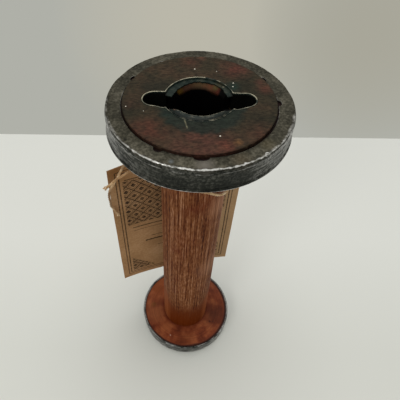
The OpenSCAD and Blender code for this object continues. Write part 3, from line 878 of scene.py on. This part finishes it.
def shieldSteelMaterial():  # pressed mild steel, tarnished: dull olive dark skin, rubbed bright on its edges, with painted highlights and reflections along its rim and curl, and painted shade on the rolled corner
    material, tree, shader, place = startMaterial("tarnishedSteel")
    cloud = addNode(tree, "ShaderNodeTexNoise", {"Vector": place, "Scale": perMm(9), "Detail": 8.0,
                                                 "Roughness": 0.6})
    stretched = addNode(tree, "ShaderNodeMapping", {"Vector": place, "Scale": (1, 1, 12)})
    streaks = addNode(tree, "ShaderNodeTexNoise", {"Vector": stretched, "Scale": perMm(7), "Detail": 4.0,
                                                   "Roughness": 0.6})
    grit = addNode(tree, "ShaderNodeTexNoise", {"Vector": place, "Scale": perMm(1.1), "Detail": 5.0,
                                                "Roughness": 0.65})
    smeared = addNode(tree, "ShaderNodeMix", {"Factor": 0.4, "A": cloud, "B": streaks}, data_type="FLOAT")
    gritty = addNode(tree, "ShaderNodeMix", {"Factor": 0.45, "A": smeared, "B": grit}, data_type="FLOAT")
    wall = addNode(tree, "ShaderNodeValToRGB", {"Fac": gritty},
                   stops=[(0.4, "#191b19"), (0.5, "#33342f"), (0.62, "#65645e")])
    flange = addNode(tree, "ShaderNodeValToRGB", {"Fac": gritty},
                     stops=[(0.4, "#2b2921"), (0.5, "#464338"), (0.61, "#6c675a")])
    height = addNode(tree, "ShaderNodeSeparateXYZ", {"Vector": place}).outputs["Z"]
    onTop = addNode(tree, "ShaderNodeMapRange", {"Value": height, **over(driveFace - 1, driveFace - 0.3)})
    dull = addNode(tree, "ShaderNodeMix", {"Factor": onTop, "A": wall, "B": flange}, data_type="RGBA")
    marked = addSpots(tree, place, dull, wallMarks + raised(flangeMarksAndHighlight, driveFace))
    wearAndSheen = addNode(tree, "ShaderNodeAttribute", attribute_name="wearAndSheen").outputs["Fac"]
    # Values below 0 are painted shade on the rolled corner, mixed towards near black.
    darkened = addNode(tree, "ShaderNodeMapRange", {"Value": wearAndSheen, "From Min": -0.1, "From Max": -0.6,
                                                 "To Max": 0.85})
    dirty = addNode(tree, "ShaderNodeMix", {"Factor": darkened, "A": marked, "B": "#11110e"}, data_type="RGBA")
    nibbled = addNode(tree, "ShaderNodeMapRange", {"Value": grit, "From Min": 0.35, "From Max": 0.6,
                                                   "To Min": -0.7, "To Max": 0.35})
    uneven = addNode(tree, "ShaderNodeMath", {0: wearAndSheen, 1: nibbled, 2: 1.0}, operation="MULTIPLY_ADD")
    scored = addNode(tree, "ShaderNodeMapRange", {"Value": streaks, "From Min": 0.38, "From Max": 0.6,
                                                  "To Min": 0.72, "To Max": 1.22})
    rubAndSheen = addNode(tree, "ShaderNodeMath", {0: wearAndSheen, 1: uneven}, operation="MULTIPLY")
    scratched = addNode(tree, "ShaderNodeMath", {0: rubAndSheen, 1: scored}, operation="MULTIPLY")
    # Real rubbing and painted highlights and reflections, mixed towards near white.
    bright = addNode(tree, "ShaderNodeMapRange", {"Value": scratched, "From Min": 0.2, "From Max": 0.8})
    colour = addNode(tree, "ShaderNodeMix", {"Factor": bright, "A": dirty, "B": "#eceae7"}, data_type="RGBA")
    rough = addNode(tree, "ShaderNodeMapRange", {"Value": bright, "To Min": 0.58, "To Max": 0.3})
    metal = addNode(tree, "ShaderNodeMapRange", {"Value": bright, "To Min": 0.85, "To Max": 0.6})
    finishMaterial(tree, shader, {"Base Color": colour, "Roughness": rough, "Metallic": metal}, grit, 0.05)
    return material


# Marks on the drive face, without their height; the specks and the scratch have a place and a size
faceStains = [
    ((0, -27), 17, 13, "#4a2d23", 0.75), ((-20, -19), 10, 8, "#4a281d", 0.7),
    ((9, -26.5), 5, 5, "#633426", 0.5), ((22, -20), 9, 8, "#43271c", 0.5), ((16, 21), 9, 7, "#49271e", 0.6),
    ((18, 20.3), 3.5, 3.5, "#5f3027", 0.5), ((27.4, 7.5), 5, 5, "#502a20", 0.55),
    ((25.5, 11.5), 3, 3, "#5c2f28", 0.35), ((-3, 26), 6, 5, "#46281c", 0.5),
    ((13.2, -24.8), 2.4, 2.4, "#6e4c2c", 0.65), ((-19, 8), 8, 7, "#1d1b14", 0.6),
    ((14, 8.5), 4.5, 4, "#16261f", 0.9), ((-13, -9), 4, 3, "#17241e", 0.7),
    ((2, 29.5), 3, 2.5, "#4f3326", 0.5), ((-27, -3), 5, 5, "#3d251b", 0.5)
]
faceSpecks = [((-1.4, 21.1), 0.4), ((7.9, 19.4), 0.26), ((-29.0, -4.8), 0.34), ((7.0, -21.4), 0.36),
              ((-21.9, -7.5), 0.27), ((14.4, 11.2), 0.4), ((14.1, 8.8), 0.36)]
faceScratch = [((-6.1 + 0.15 * k, -11.9 - 0.75 * k), 0.45) for k in range(8)]
# The old green paint's middle, edge and raggedness, and the radii of the groove where painted shade darkens
# the face's edge
oldPaintAndGrooveShade = {"at": (1, -4), "edge": (22.5, 19.5), "ragged": 9, "groove": (30.85, 31.1)}


def driveWoodMaterial():  # oil-soaked hardwood under old paint: dark, with red stains and green remains, and painted shade in the groove round its edge
    material, tree, shader, place = startMaterial("oiledHeadWood")
    cloud = addNode(tree, "ShaderNodeTexNoise", {"Vector": place, "Scale": perMm(13), "Detail": 7.0,
                                                 "Roughness": 0.62})
    base = addNode(tree, "ShaderNodeValToRGB", {"Fac": cloud},
                   stops=[(0.36, "#232015"), (0.5, "#2e271a"), (0.64, "#3a2c1e")])
    patch = addNode(tree, "ShaderNodeTexNoise", {"Vector": place, "Scale": perMm(4), "Detail": 6.0})
    ragged = addNode(tree, "ShaderNodeMapRange", {"Value": patch, "From Min": 0.35, "From Max": 0.65,
                                                  "To Min": 0.55, "To Max": 1.35})
    stained = addSpots(tree, place, base, raised(faceStains, faceTop), ragged)
    middle = [c * mm for c in (*oldPaintAndGrooveShade["at"], faceTop)]
    around = addNode(tree, "ShaderNodeVectorMath", {0: place, 1: middle}, operation="DISTANCE")
    frayed = addNode(tree, "ShaderNodeMath", {0: patch, 1: oldPaintAndGrooveShade["ragged"] * mm, 2: around},
                     operation="MULTIPLY_ADD")
    paint = addNode(tree, "ShaderNodeMapRange", {"Value": frayed, **over(*oldPaintAndGrooveShade["edge"]), "To Max": 0.85})
    painted = addNode(tree, "ShaderNodeMix", {"Factor": paint, "A": stained, "B": "#17211b"},
                      data_type="RGBA")
    specks = [(at, size, size, "#8a8468", 0.7) for at, size in faceScratch]
    specks += [(at, size, size * 0.5, "#c9c4b4", 1.0) for at, size in faceSpecks]
    specked = addSpots(tree, place, painted, raised(specks, faceTop))
    # Painted shade: the face's edge goes near black in the groove by the steel.
    edge = addNode(tree, "ShaderNodeMapRange", {"Value": fromAxis(tree, place), **over(*oldPaintAndGrooveShade["groove"])})
    dark = addNode(tree, "ShaderNodeMix", {"Factor": edge, "A": specked, "B": "#160504"}, data_type="RGBA")
    stretched = addNode(tree, "ShaderNodeMapping", {"Vector": place, "Scale": (0.5, 1, 1)})
    fine = addNode(tree, "ShaderNodeTexNoise", {"Vector": stretched, "Scale": perMm(0.9), "Detail": 5.0,
                                                "Roughness": 0.65})
    mottled = addNode(tree, "ShaderNodeMapRange", {"Value": fine, "From Min": 0.32, "From Max": 0.68,
                                                   "To Min": 0.45, "To Max": 1.62})
    final = addNode(tree, "ShaderNodeVectorMath", {0: dark, "Scale": mottled}, operation="SCALE")
    finishMaterial(tree, shader, {"Base Color": final, "Roughness": 0.65, "Specular IOR Level": 0.14},
                   fine, 0.12)
    return material


# A red patch and a dark one near the top are stains; the two pale ones on the right are painted light on the
# barrel's lit side
barrelStainsAndLight = [((7.5, -14.0, 157), 9, 7, "#63200f", 0.6), ((-2, -15.9, 150), 6, 5, "#5c2410", 0.75),
                ((14, -8, 150), 12, 9, "#b07e5e", 1.0), ((13, -9, 92), 14, 11, "#a87a5c", 1.0)]
mouthLitPatches = [  # lighter patches in the mouth of the bore: painted light on its walls, each with its own hue
    ((1.2, 13, 203), 5.5, 4, "#463621", 0.9), ((5.2, 11.7, 202.4), 2.6, 2, "#583522", 0.8),
    ((-8.3, 8.2, 201.8), 3, 2.2, "#4c380f", 0.95), ((9.0, 8.2, 201.8), 3.2, 2.4, "#482015", 0.9),
    ((7.2, 10.4, 202.8), 1.8, 1.4, "#4f4426", 0.8), ((-5, 11, 202.5), 2.4, 2, "#3f2c20", 0.6),
    ((2.5, 12.2, 201.6), 1.6, 1.4, "#5c3a26", 0.8)
]
# Shellac from the foot runs up the barrel, higher and paler at its sides. Below a brink the bore is painted
# black as shade, and the brink dips lower towards the sides, where the walls are painted lit.
oldShellac = {"edge": (38, 26), "ragged": 14, "climb": 17, "sides": (10, 16), "paler": (10.5, 13.5),
              "top": 34}
brink = {"wall": (15, 14.3), "halfWide": 12, "dip": 4, "height": (199.8, 201.3),
         "dips": [(0.25, 0.3), (0.5, 0.0), (0.66, 0.08), (0.82, 1.0)]}


def barrelWoodMaterial():  # bare beech polished by thread: pinkish brown ridges over dark, dirty grooves
    material, tree, shader, place = startMaterial("threadWornBeech")
    groove = addNode(tree, "ShaderNodeAttribute", attribute_name="wearAndSheen").outputs["Fac"]
    stretched = addNode(tree, "ShaderNodeMapping", {"Vector": place, "Scale": (1, 1, 0.014)})
    fibres = addNode(tree, "ShaderNodeTexNoise", {"Vector": stretched, "Scale": perMm(0.38), "Detail": 3.0,
                                                  "Roughness": 0.7})
    ribbed = addNode(tree, "ShaderNodeMix", {"Factor": 0.55, "A": groove, "B": fibres}, data_type="FLOAT")
    shorter = addNode(tree, "ShaderNodeMapping", {"Vector": place, "Scale": (1, 1, 0.2)})
    flecks = addNode(tree, "ShaderNodeTexNoise", {"Vector": shorter, "Scale": perMm(0.7), "Detail": 4.0,
                                                  "Roughness": 0.6})
    grained = addNode(tree, "ShaderNodeMix", {"Factor": 0.38, "A": ribbed, "B": flecks}, data_type="FLOAT")
    wood = addNode(tree, "ShaderNodeValToRGB", {"Fac": grained},
                   stops=[(0.35, "#300f03"), (0.44, "#572a12"), (0.53, "#7d4b29"), (0.64, "#a87a5a")])
    patches = addNode(tree, "ShaderNodeTexNoise", {"Vector": place, "Scale": perMm(12), "Detail": 3.0})
    redShare = addNode(tree, "ShaderNodeMapRange", {"Value": patches, "From Min": 0.52, "From Max": 0.75,
                                                    "To Max": 0.45})
    reddened = addNode(tree, "ShaderNodeMix", {"Factor": redShare, "A": wood, "B": "#5c1e0d"},
                       data_type="RGBA")
    # The two pale spots on the right are painted light.
    spotted = addSpots(tree, place, reddened, barrelStainsAndLight, groove)
    x, _, height = addNode(tree, "ShaderNodeSeparateXYZ", {"Vector": place}).outputs
    aside = addNode(tree, "ShaderNodeMath", {0: x}, operation="ABSOLUTE")
    climb = addNode(tree, "ShaderNodeMapRange", {"Value": aside, **over(*oldShellac["sides"]),
                                                 "To Max": -oldShellac["climb"] * mm})
    climbed = addNode(tree, "ShaderNodeMath", {0: height, 1: climb}, operation="ADD")
    ragged = addNode(tree, "ShaderNodeMath", {0: groove, 1: -oldShellac["ragged"] * mm, 2: climbed},
                     operation="MULTIPLY_ADD")
    low = addNode(tree, "ShaderNodeMapRange", {"Value": ragged, **over(*oldShellac["edge"]), "To Max": 0.9})
    upward = addNode(tree, "ShaderNodeMapRange", {"Value": height, **over(footTop, oldShellac["top"])})
    middle = addNode(tree, "ShaderNodeMix", {"Factor": upward, "A": "#642500", "B": "#5f2604"},
                     data_type="RGBA")
    sides = addNode(tree, "ShaderNodeMapRange", {"Value": aside, **over(*oldShellac["paler"]),
                                                 "To Max": 0.85})
    shellac = addNode(tree, "ShaderNodeMix", {"Factor": sides, "A": middle, "B": "#8a4a26"}, data_type="RGBA")
    stained = addNode(tree, "ShaderNodeMix", {"Factor": low, "A": spotted, "B": shellac}, data_type="RGBA")
    inside = addNode(tree, "ShaderNodeMapRange", {"Value": fromAxis(tree, place), **over(*brink["wall"])})
    across = addNode(tree, "ShaderNodeMath", {0: aside, 1: brink["halfWide"] * mm}, operation="DIVIDE")
    dips = addNode(tree, "ShaderNodeValToRGB", {"Fac": across}, stops=brink["dips"])
    above = addNode(tree, "ShaderNodeMath", {0: dips, 1: -brink["dip"] * mm, 2: height},
                    operation="MULTIPLY_ADD")
    lit = addNode(tree, "ShaderNodeMapRange", {"Value": above, **over(*brink["height"])})
    # The mouth's walls above the brink, with lighter patches of painted light.
    mouthTone = addNode(tree, "ShaderNodeValToRGB", {"Fac": patches}, stops=[(0.4, "#311d12"), (0.6, "#3c2414")])
    mouth = addSpots(tree, place, mouthTone, mouthLitPatches)
    # Painted shade: below the brink the bore is near black.
    bore = addNode(tree, "ShaderNodeMix", {"Factor": lit, "A": "#020101", "B": mouth}, data_type="RGBA")
    whole = addNode(tree, "ShaderNodeMix", {"Factor": inside, "A": stained, "B": bore}, data_type="RGBA")
    finishMaterial(tree, shader, {"Base Color": whole, "Roughness": 0.62, "Specular IOR Level": 0.07},
                   fibres, 0.09)
    return material


footMarks = [  # on the foot head's upper side, without their height
    ((18.4, -11.9), 1.0, 0.5, "#2a0f05", 0.9), ((20.6, -12), 0.9, 0.6, "#34130a", 0.7),
    ((-10.9, -22.8), 0.4, 0.2, "#d8c9b0", 1.0), ((22, -6), 12, 10, "#4f2310", 0.9),
    ((0, -26), 9, 9, "#642f12", 0.6), ((-22, -6), 10, 8, "#8a5030", 0.75),
    ((-20, 16), 16, 12, "#7a3a0c", 0.7), ((-24, 1), 3, 3, "#5a3f08", 0.5)
]
footRings = {"root": (20.5, 18), "rim": (31.4, 32.4), "ragged": 4}  # where it darkens, from the axis


def footWoodMaterial():  # shellacked hardwood: orange brown, in fine rings, dark at the barrel and the rim
    material, tree, shader, place = startMaterial("shellackedFootWood")
    cloud = addNode(tree, "ShaderNodeTexNoise", {"Vector": place, "Scale": perMm(10), "Detail": 6.0,
                                                 "Roughness": 0.6})
    base = addNode(tree, "ShaderNodeValToRGB", {"Fac": cloud},
                   stops=[(0.37, "#58230d"), (0.5, "#75361a"), (0.63, "#8f4e2b")])
    radius = fromAxis(tree, place)
    ragged = addNode(tree, "ShaderNodeMath", {0: cloud, 1: footRings["ragged"] * mm, 2: radius},
                     operation="MULTIPLY_ADD")
    root = addNode(tree, "ShaderNodeMapRange", {"Value": ragged, **over(*footRings["root"]), "To Max": 0.7})
    rim = addNode(tree, "ShaderNodeMapRange", {"Value": ragged, **over(*footRings["rim"]), "To Max": 0.8})
    marked = addSpots(tree, place, base, raised(footMarks, footTop))
    rooted = addNode(tree, "ShaderNodeMix", {"Factor": root, "A": marked, "B": "#5a2008"}, data_type="RGBA")
    colour = addNode(tree, "ShaderNodeMix", {"Factor": rim, "A": rooted, "B": "#24100f"}, data_type="RGBA")
    rings = addNode(tree, "ShaderNodeTexNoise", {"W": radius, "Scale": perMm(0.9), "Detail": 3.0},
                    noise_dimensions="1D")
    mottled = addNode(tree, "ShaderNodeMapRange", {"Value": rings, "From Min": 0.3, "From Max": 0.7,
                                                   "To Min": 0.84, "To Max": 1.16})
    final = addNode(tree, "ShaderNodeVectorMath", {0: colour, "Scale": mottled}, operation="SCALE")
    fine = addNode(tree, "ShaderNodeTexNoise", {"Vector": place, "Scale": perMm(1.8), "Detail": 4.0})
    finishMaterial(tree, shader, {"Base Color": final, "Roughness": 0.5, "Specular IOR Level": 0.15},
                   fine, 0.08)
    return material


linerMarks = [((8.6, 10.5, 203.8), 3, 2.6, "#3f3a28", 0.6), ((10.2, 9.4, 204), 0.6, 0.5, "#86806a", 0.8),
              ((-9.5, -7.0, 205.2), 1.3, 1, "#6d3d1e", 0.8)]
# The paint is in shade in front and deep down, and from higher up in the slot's ears
linerShade = {"near": (-3, -8), "ears": (12.5, 13.5), "earsUp": 0.9, "height": (203.7, 202.9)}


def linerMetalMaterial():  # thin brass sheet under dark green paint, its lip rubbed bare, and a painted sheen with bare metal along the front shelf's edge
    material, tree, shader, place = startMaterial("paintedLinerBrass")
    paint = addNode(tree, "ShaderNodeTexNoise", {"Vector": place, "Scale": perMm(2.2), "Detail": 5.0})
    green = addNode(tree, "ShaderNodeValToRGB", {"Fac": paint},
                    stops=[(0.35, "#0f1915"), (0.52, "#1a2620"), (0.68, "#33362d")])
    marked = addSpots(tree, place, green, linerMarks)
    x, y, height = addNode(tree, "ShaderNodeSeparateXYZ", {"Vector": place}).outputs
    near = addNode(tree, "ShaderNodeMapRange", {"Value": y, **over(*linerShade["near"]), "To Min": 1.0,
                                                "To Max": 0.7})
    shaded = addNode(tree, "ShaderNodeVectorMath", {0: marked, "Scale": near}, operation="SCALE")
    aside = addNode(tree, "ShaderNodeMath", {0: x}, operation="ABSOLUTE")
    ears = addNode(tree, "ShaderNodeMapRange", {"Value": aside, **over(*linerShade["ears"]),
                                                "To Max": -linerShade["earsUp"] * mm})
    lowered = addNode(tree, "ShaderNodeMath", {0: height, 1: ears}, operation="ADD")
    sunk = addNode(tree, "ShaderNodeMapRange", {"Value": lowered, **over(*linerShade["height"])})
    dark = addNode(tree, "ShaderNodeMix", {"Factor": sunk, "A": shaded, "B": "#040503"}, data_type="RGBA")
    wearAndSheen = addNode(tree, "ShaderNodeAttribute", attribute_name="wearAndSheen").outputs["Fac"]
    darkened = addNode(tree, "ShaderNodeMapRange", {"Value": wearAndSheen, "From Min": -0.05, "From Max": -0.6,
                                                 "To Max": 0.8})
    dirty = addNode(tree, "ShaderNodeMix", {"Factor": darkened, "A": dark, "B": "#080b08"}, data_type="RGBA")
    grit = addNode(tree, "ShaderNodeTexNoise", {"Vector": place, "Scale": perMm(1.2), "Detail": 3.0})
    nibbled = addNode(tree, "ShaderNodeMapRange", {"Value": grit, "From Min": 0.35, "From Max": 0.6,
                                                   "To Min": 0.7, "To Max": 1.2})
    bareAndSheen = addNode(tree, "ShaderNodeMath", {0: wearAndSheen, 1: nibbled}, operation="MULTIPLY", use_clamp=True)
    share = addNode(tree, "ShaderNodeMapRange", {"Value": bareAndSheen, "From Min": 0.2, "From Max": 0.7})
    # Bare brass and painted sheen, mixed towards pale brass.
    colour = addNode(tree, "ShaderNodeMix", {"Factor": share, "A": dirty, "B": "#a9a38c"}, data_type="RGBA")
    metal = addNode(tree, "ShaderNodeMapRange", {"Value": share, "To Min": 0.0, "To Max": 0.4})
    finishMaterial(tree, shader, {"Base Color": colour, "Roughness": 0.5, "Metallic": metal,
                                  "Specular IOR Level": 0.2}, grit, 0.05)
    return material


def bushSteelMaterial():  # turned steel bush, oiled and worn to a dull shine
    material, tree, shader, place = startMaterial("turnedBushSteel")
    stretched = addNode(tree, "ShaderNodeMapping", {"Vector": place, "Scale": (1, 1, 20)})
    rings = addNode(tree, "ShaderNodeTexNoise", {"Vector": stretched, "Scale": perMm(6), "Detail": 4.0})
    colour = addNode(tree, "ShaderNodeValToRGB", {"Fac": rings}, stops=[(0.35, "#5c5a55"), (0.65, "#94928c")])
    rough = addNode(tree, "ShaderNodeMapRange", {"Value": rings, "To Min": 0.28, "To Max": 0.5})
    finishMaterial(tree, shader, {"Base Color": colour, "Roughness": rough, "Metallic": 1.0}, rings, 0.03)
    return material


# The card's print is a plain pattern of its own: ruled frames round a lattice panel, short rules and lattice
# corners. Sizes in millimetres, from the card's edges or its lower edge. A rule has its lower and upper edge
# and its half length. The frames are shares of frameSpan. Lines, dots and rings are by how far across a
# lattice cell they start or end.
pattern = {"lattice": 8.6, "line": 0.645, "dot": 2.58, "ring": (1.2212, 1.7028),
           "panel": (60.0, 99.0), "corner": 30.0, "inset": 7.2, "frameSpan": 20,
           "frames": [(0, 0.0), (0.175, 0.9), (0.205, 0.0), (0.26, 0.95), (0.295, 0.0)],
           "rules": [(56.0, 56.9, 27.0), (53.0, 53.4, 27.0), (43.0, 43.5, 16.0), (38.5, 39.8, 20.0),
                     (31.0, 31.5, 12.0), (99.6, 100.3, 29.0)]}
# Painted light on the card: lighter towards the right end of its printed face, and a painted shadow of the
# head on its upper corner.
cardLight = {"litRight": (50, 68), "shadowAt": (38, 155), "tint": (18, 14, "#7f5320", 0.6)}


def latticePrint(tree, u, v):  # slanting lines both ways, with dots and rings between them
    cell = pattern["lattice"] * mm
    slants = []
    for way in ("ADD", "SUBTRACT"):
        along = addNode(tree, "ShaderNodeMath", {0: u, 1: v}, operation=way)
        slants.append(addNode(tree, "ShaderNodeMath", {0: along, 1: cell / 2}, operation="PINGPONG"))
    near = addNode(tree, "ShaderNodeMath", dict(enumerate(slants)), operation="MINIMUM")
    lattice = addNode(tree, "ShaderNodeMath", {0: near, **amid(*pattern["ring"])}, operation="COMPARE")
    for test, limit in (("LESS_THAN", pattern["line"]), ("GREATER_THAN", pattern["dot"])):
        found = addNode(tree, "ShaderNodeMath", {0: near, 1: limit * mm}, operation=test)
        lattice = addNode(tree, "ShaderNodeMath", {0: lattice, 1: found}, operation="MAXIMUM")
    return lattice


def cardInk(tree, u, v):  # where the card is inked, with u and v in metres from its lower left corner
    insets = []
    for at, half in ((u, tag["width"] / 2 * mm), (v, tag["height"] / 2 * mm)):
        off = addNode(tree, "ShaderNodeMath", {0: at, 1: half}, operation="SUBTRACT")
        fromMiddle = addNode(tree, "ShaderNodeMath", {0: off}, operation="ABSOLUTE")
        insets.append(addNode(tree, "ShaderNodeMath", {0: half, 1: fromMiddle}, operation="SUBTRACT"))
    inset = addNode(tree, "ShaderNodeMath", dict(enumerate(insets)), operation="MINIMUM")
    share = addNode(tree, "ShaderNodeMath", {0: inset, 1: perMm(pattern["frameSpan"])}, operation="MULTIPLY")
    frames = addNode(tree, "ShaderNodeValToRGB", {"Fac": share}, stops=pattern["frames"])
    frames.color_ramp.interpolation = "CONSTANT"
    inPanel = addNode(tree, "ShaderNodeMath", {0: v, **amid(*pattern["panel"])}, operation="COMPARE")
    cornerward = addNode(tree, "ShaderNodeMath", {0: insets[0], 1: v}, operation="ADD")
    inCorner = addNode(tree, "ShaderNodeMath", {0: cornerward, 1: pattern["corner"] * mm},
                       operation="LESS_THAN")
    inEither = addNode(tree, "ShaderNodeMath", {0: inPanel, 1: inCorner}, operation="MAXIMUM")
    inFrame = addNode(tree, "ShaderNodeMath", {0: inset, 1: pattern["inset"] * mm}, operation="GREATER_THAN")
    field = addNode(tree, "ShaderNodeMath", {0: inEither, 1: inFrame}, operation="MULTIPLY")
    filled = addNode(tree, "ShaderNodeMath", {0: latticePrint(tree, u, v), 1: field}, operation="MULTIPLY")
    ink = addNode(tree, "ShaderNodeMath", {0: frames, 1: filled}, operation="MAXIMUM")
    middle = tag["width"] / 2
    for low, high, half in pattern["rules"]:
        band = addNode(tree, "ShaderNodeMath", {0: v, **amid(low, high)}, operation="COMPARE")
        length = addNode(tree, "ShaderNodeMath", {0: u, **amid(middle - half, middle + half)},
                         operation="COMPARE")
        rule = addNode(tree, "ShaderNodeMath", {0: band, 1: length}, operation="MULTIPLY")
        ink = addNode(tree, "ShaderNodeMath", {0: ink, 1: rule}, operation="MAXIMUM")
    return ink


def kraftCardMaterial():  # thick kraft card: warm brown pulp, one face printed in dark brown
    material, tree, shader, place = startMaterial("printedKraftCard")
    pulp = addNode(tree, "ShaderNodeTexNoise", {"Vector": place, "Scale": perMm(1.3), "Detail": 5.0})
    cloud = addNode(tree, "ShaderNodeTexNoise", {"Vector": place, "Scale": perMm(22), "Detail": 2.0})
    uneven = addNode(tree, "ShaderNodeMix", {"Factor": 0.6, "A": pulp, "B": cloud}, data_type="FLOAT")
    kraft = addNode(tree, "ShaderNodeValToRGB", {"Fac": uneven},
                    stops=[(0.36, "#97724b"), (0.5, "#a98158"), (0.64, "#b8926a")])
    spot = addNode(tree, "ShaderNodeUVMap", uv_map="print")
    u, v, _ = addNode(tree, "ShaderNodeSeparateXYZ", {"Vector": spot}).outputs
    # Painted light: lighter towards the right end.
    litShare = addNode(tree, "ShaderNodeMapRange", {"Value": u, **over(*cardLight["litRight"]), "To Max": 0.35})
    litRight = addNode(tree, "ShaderNodeMix", {"Factor": litShare, "A": kraft, "B": "#d3b48a"}, data_type="RGBA")
    # Painted shadow of the head on the card's upper corner.
    corner = inTag(tag["out"], *cardLight["shadowAt"])
    paper = addSpots(tree, place, litRight, [(corner, *cardLight["tint"])])
    printed = addNode(tree, "ShaderNodeAttribute", attribute_name="printed").outputs["Fac"]
    inked = addNode(tree, "ShaderNodeMath", {0: cardInk(tree, u, v), 1: printed}, operation="MULTIPLY")
    worn = addNode(tree, "ShaderNodeMapRange", {"Value": pulp, "From Min": 0.3, "From Max": 0.65,
                                                "To Min": 1.0, "To Max": 0.66})
    share = addNode(tree, "ShaderNodeMath", {0: inked, 1: worn}, operation="MULTIPLY")
    colour = addNode(tree, "ShaderNodeMix", {"Factor": share, "A": paper, "B": "#1f120a"}, data_type="RGBA")
    finishMaterial(tree, shader, {"Base Color": colour, "Roughness": 0.85, "Specular IOR Level": 0.25},
                   pulp, 0.06)
    return material


def coat(piece, material):
    piece.data.materials.clear()
    piece.data.materials.append(material)


barrelPiece = makeBarrel()
print("barrel turned")
driveHead = makeHead("driveHeadWood", "drive_head", "drive_wood", driveFace, -1, **head["drive"], seed=2)
cut(driveHead, post("recess", keyhole(liner["sheet"] + liner["gap"]), liner["cutFloor"], liner["cutTop"]))
footHead = makeHead("footHeadWood", "foot_head", "foot_wood", footFace, 1, **head["foot"], seed=6)
print("heads turned")
driveShield = makeShield("driveShieldSteel", "drive_shield", driveFace, -1, 1, driveDents)
footShield = makeShield("footShieldSteel", "foot_shield", footFace, 1, 4, footDents)
linerPiece = makeLiner()
print("metal pressed")
card = makeCard()
print("card cut")

shieldSteel = shieldSteelMaterial()
coat(driveShield, shieldSteel)
coat(footShield, shieldSteel)
coat(driveHead, driveWoodMaterial())
coat(footHead, footWoodMaterial())
coat(barrelPiece, barrelWoodMaterial())
coat(linerPiece, linerMetalMaterial())
coat(card, kraftCardMaterial())
coat(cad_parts["foot_bush"], bushSteelMaterial())
print("materials made")

# The floor in millimetres. A patch on the wall has its colour, the way it lies and how tight it is.
room = {"floorFar": 205.0, "floorNear": -700.0, "floorSide": 700.0, "floorDim": "#d6d7ce", "dimAt": -30,
        "floorLit": "#dfe0d8", "litAt": 70, "wall": "#afb0a8", "worldLight": 0.55,
        "patches": [("#bab7a9", (0.05, 0.89, -0.455), 0.95), ("#a8a699", (0.401, 0.808, -0.432), 0.97)]}
lamps = {"overheadSoftbox": {"at": (0.02, 0.12, 1.3), "aim": (0, 0, 0.1), "size": 0.9, "adds": 0.42},
         "frontSoftbox": {"at": (-0.7, -0.9, 1.0), "aim": (0, 0, 0.15), "size": 0.5, "adds": 0.16}}


def makeFloor():
    near, far, side = room["floorNear"], room["floorFar"], room["floorSide"]
    floor = meshObject("tableTop", [(-side, near, 0), (side, near, 0), (side, far, 0), (-side, far, 0)],
                       [(0, 1, 2, 3)])
    material, tree, shader, place = startMaterial("whiteLaminate")  # matt white laminate table top
    back = addNode(tree, "ShaderNodeSeparateXYZ", {"Vector": place}).outputs["Y"]
    lit = addNode(tree, "ShaderNodeMapRange", {"Value": back, **over(room["dimAt"], room["litAt"])})
    colour = addNode(tree, "ShaderNodeMix", {"Factor": lit, "A": room["floorDim"], "B": room["floorLit"]},
                     data_type="RGBA")
    finishMaterial(tree, shader, {"Base Color": colour, "Roughness": 0.7})
    coat(floor, material)


def makeWorld():
    world = bpy.data.worlds.new("room")
    bpy.context.scene.world = world
    world.use_nodes = True
    tree = world.node_tree
    background = tree.nodes["Background"]
    rays = addNode(tree, "ShaderNodeLightPath").outputs
    glossy = addNode(tree, "ShaderNodeMath", {0: rays["Is Camera Ray"], 1: rays["Is Glossy Ray"]},
                     operation="MAXIMUM")
    seen = addNode(tree, "ShaderNodeMath", {0: glossy, 1: rays["Is Transmission Ray"]}, operation="MAXIMUM")
    way = addNode(tree, "ShaderNodeTexCoord").outputs["Generated"]
    wall = room["wall"]
    for shade, at, spread in room["patches"]:
        near = addNode(tree, "ShaderNodeVectorMath", {0: way, 1: at}, operation="DOT_PRODUCT")
        share = addNode(tree, "ShaderNodeMapRange", {"Value": near, "From Min": spread})
        wall = addNode(tree, "ShaderNodeMix", {"Factor": share, "A": wall, "B": shade}, data_type="RGBA")
    colour = addNode(tree, "ShaderNodeMix", {"Factor": seen, "A": "#ffffff", "B": wall}, data_type="RGBA")
    strength = addNode(tree, "ShaderNodeMapRange", {"Value": seen, "To Min": room["worldLight"]})
    feed(tree, background.inputs["Color"], colour)
    feed(tree, background.inputs["Strength"], strength)


def addLamp(name, at, aim, size, adds):  # adds is how much it lights a surface that faces it, white being 1
    data = bpy.data.lights.new(name, "AREA")
    data.shape = "DISK"
    data.size = size
    far = (Vector(at) - Vector(aim)).length
    data.energy = adds * math.pi ** 2 * far ** 2
    lamp = bpy.data.objects.new(name, data)
    bpy.context.scene.collection.objects.link(lamp)
    lamp.location = at
    lamp.rotation_euler = (Vector(aim) - Vector(at)).to_track_quat("-Z", "Y").to_euler()


makeFloor()
makeWorld()
for name, lamp in lamps.items():
    addLamp(name, **lamp)
bpy.context.scene.view_settings.view_transform = "Standard"
print("lights placed")
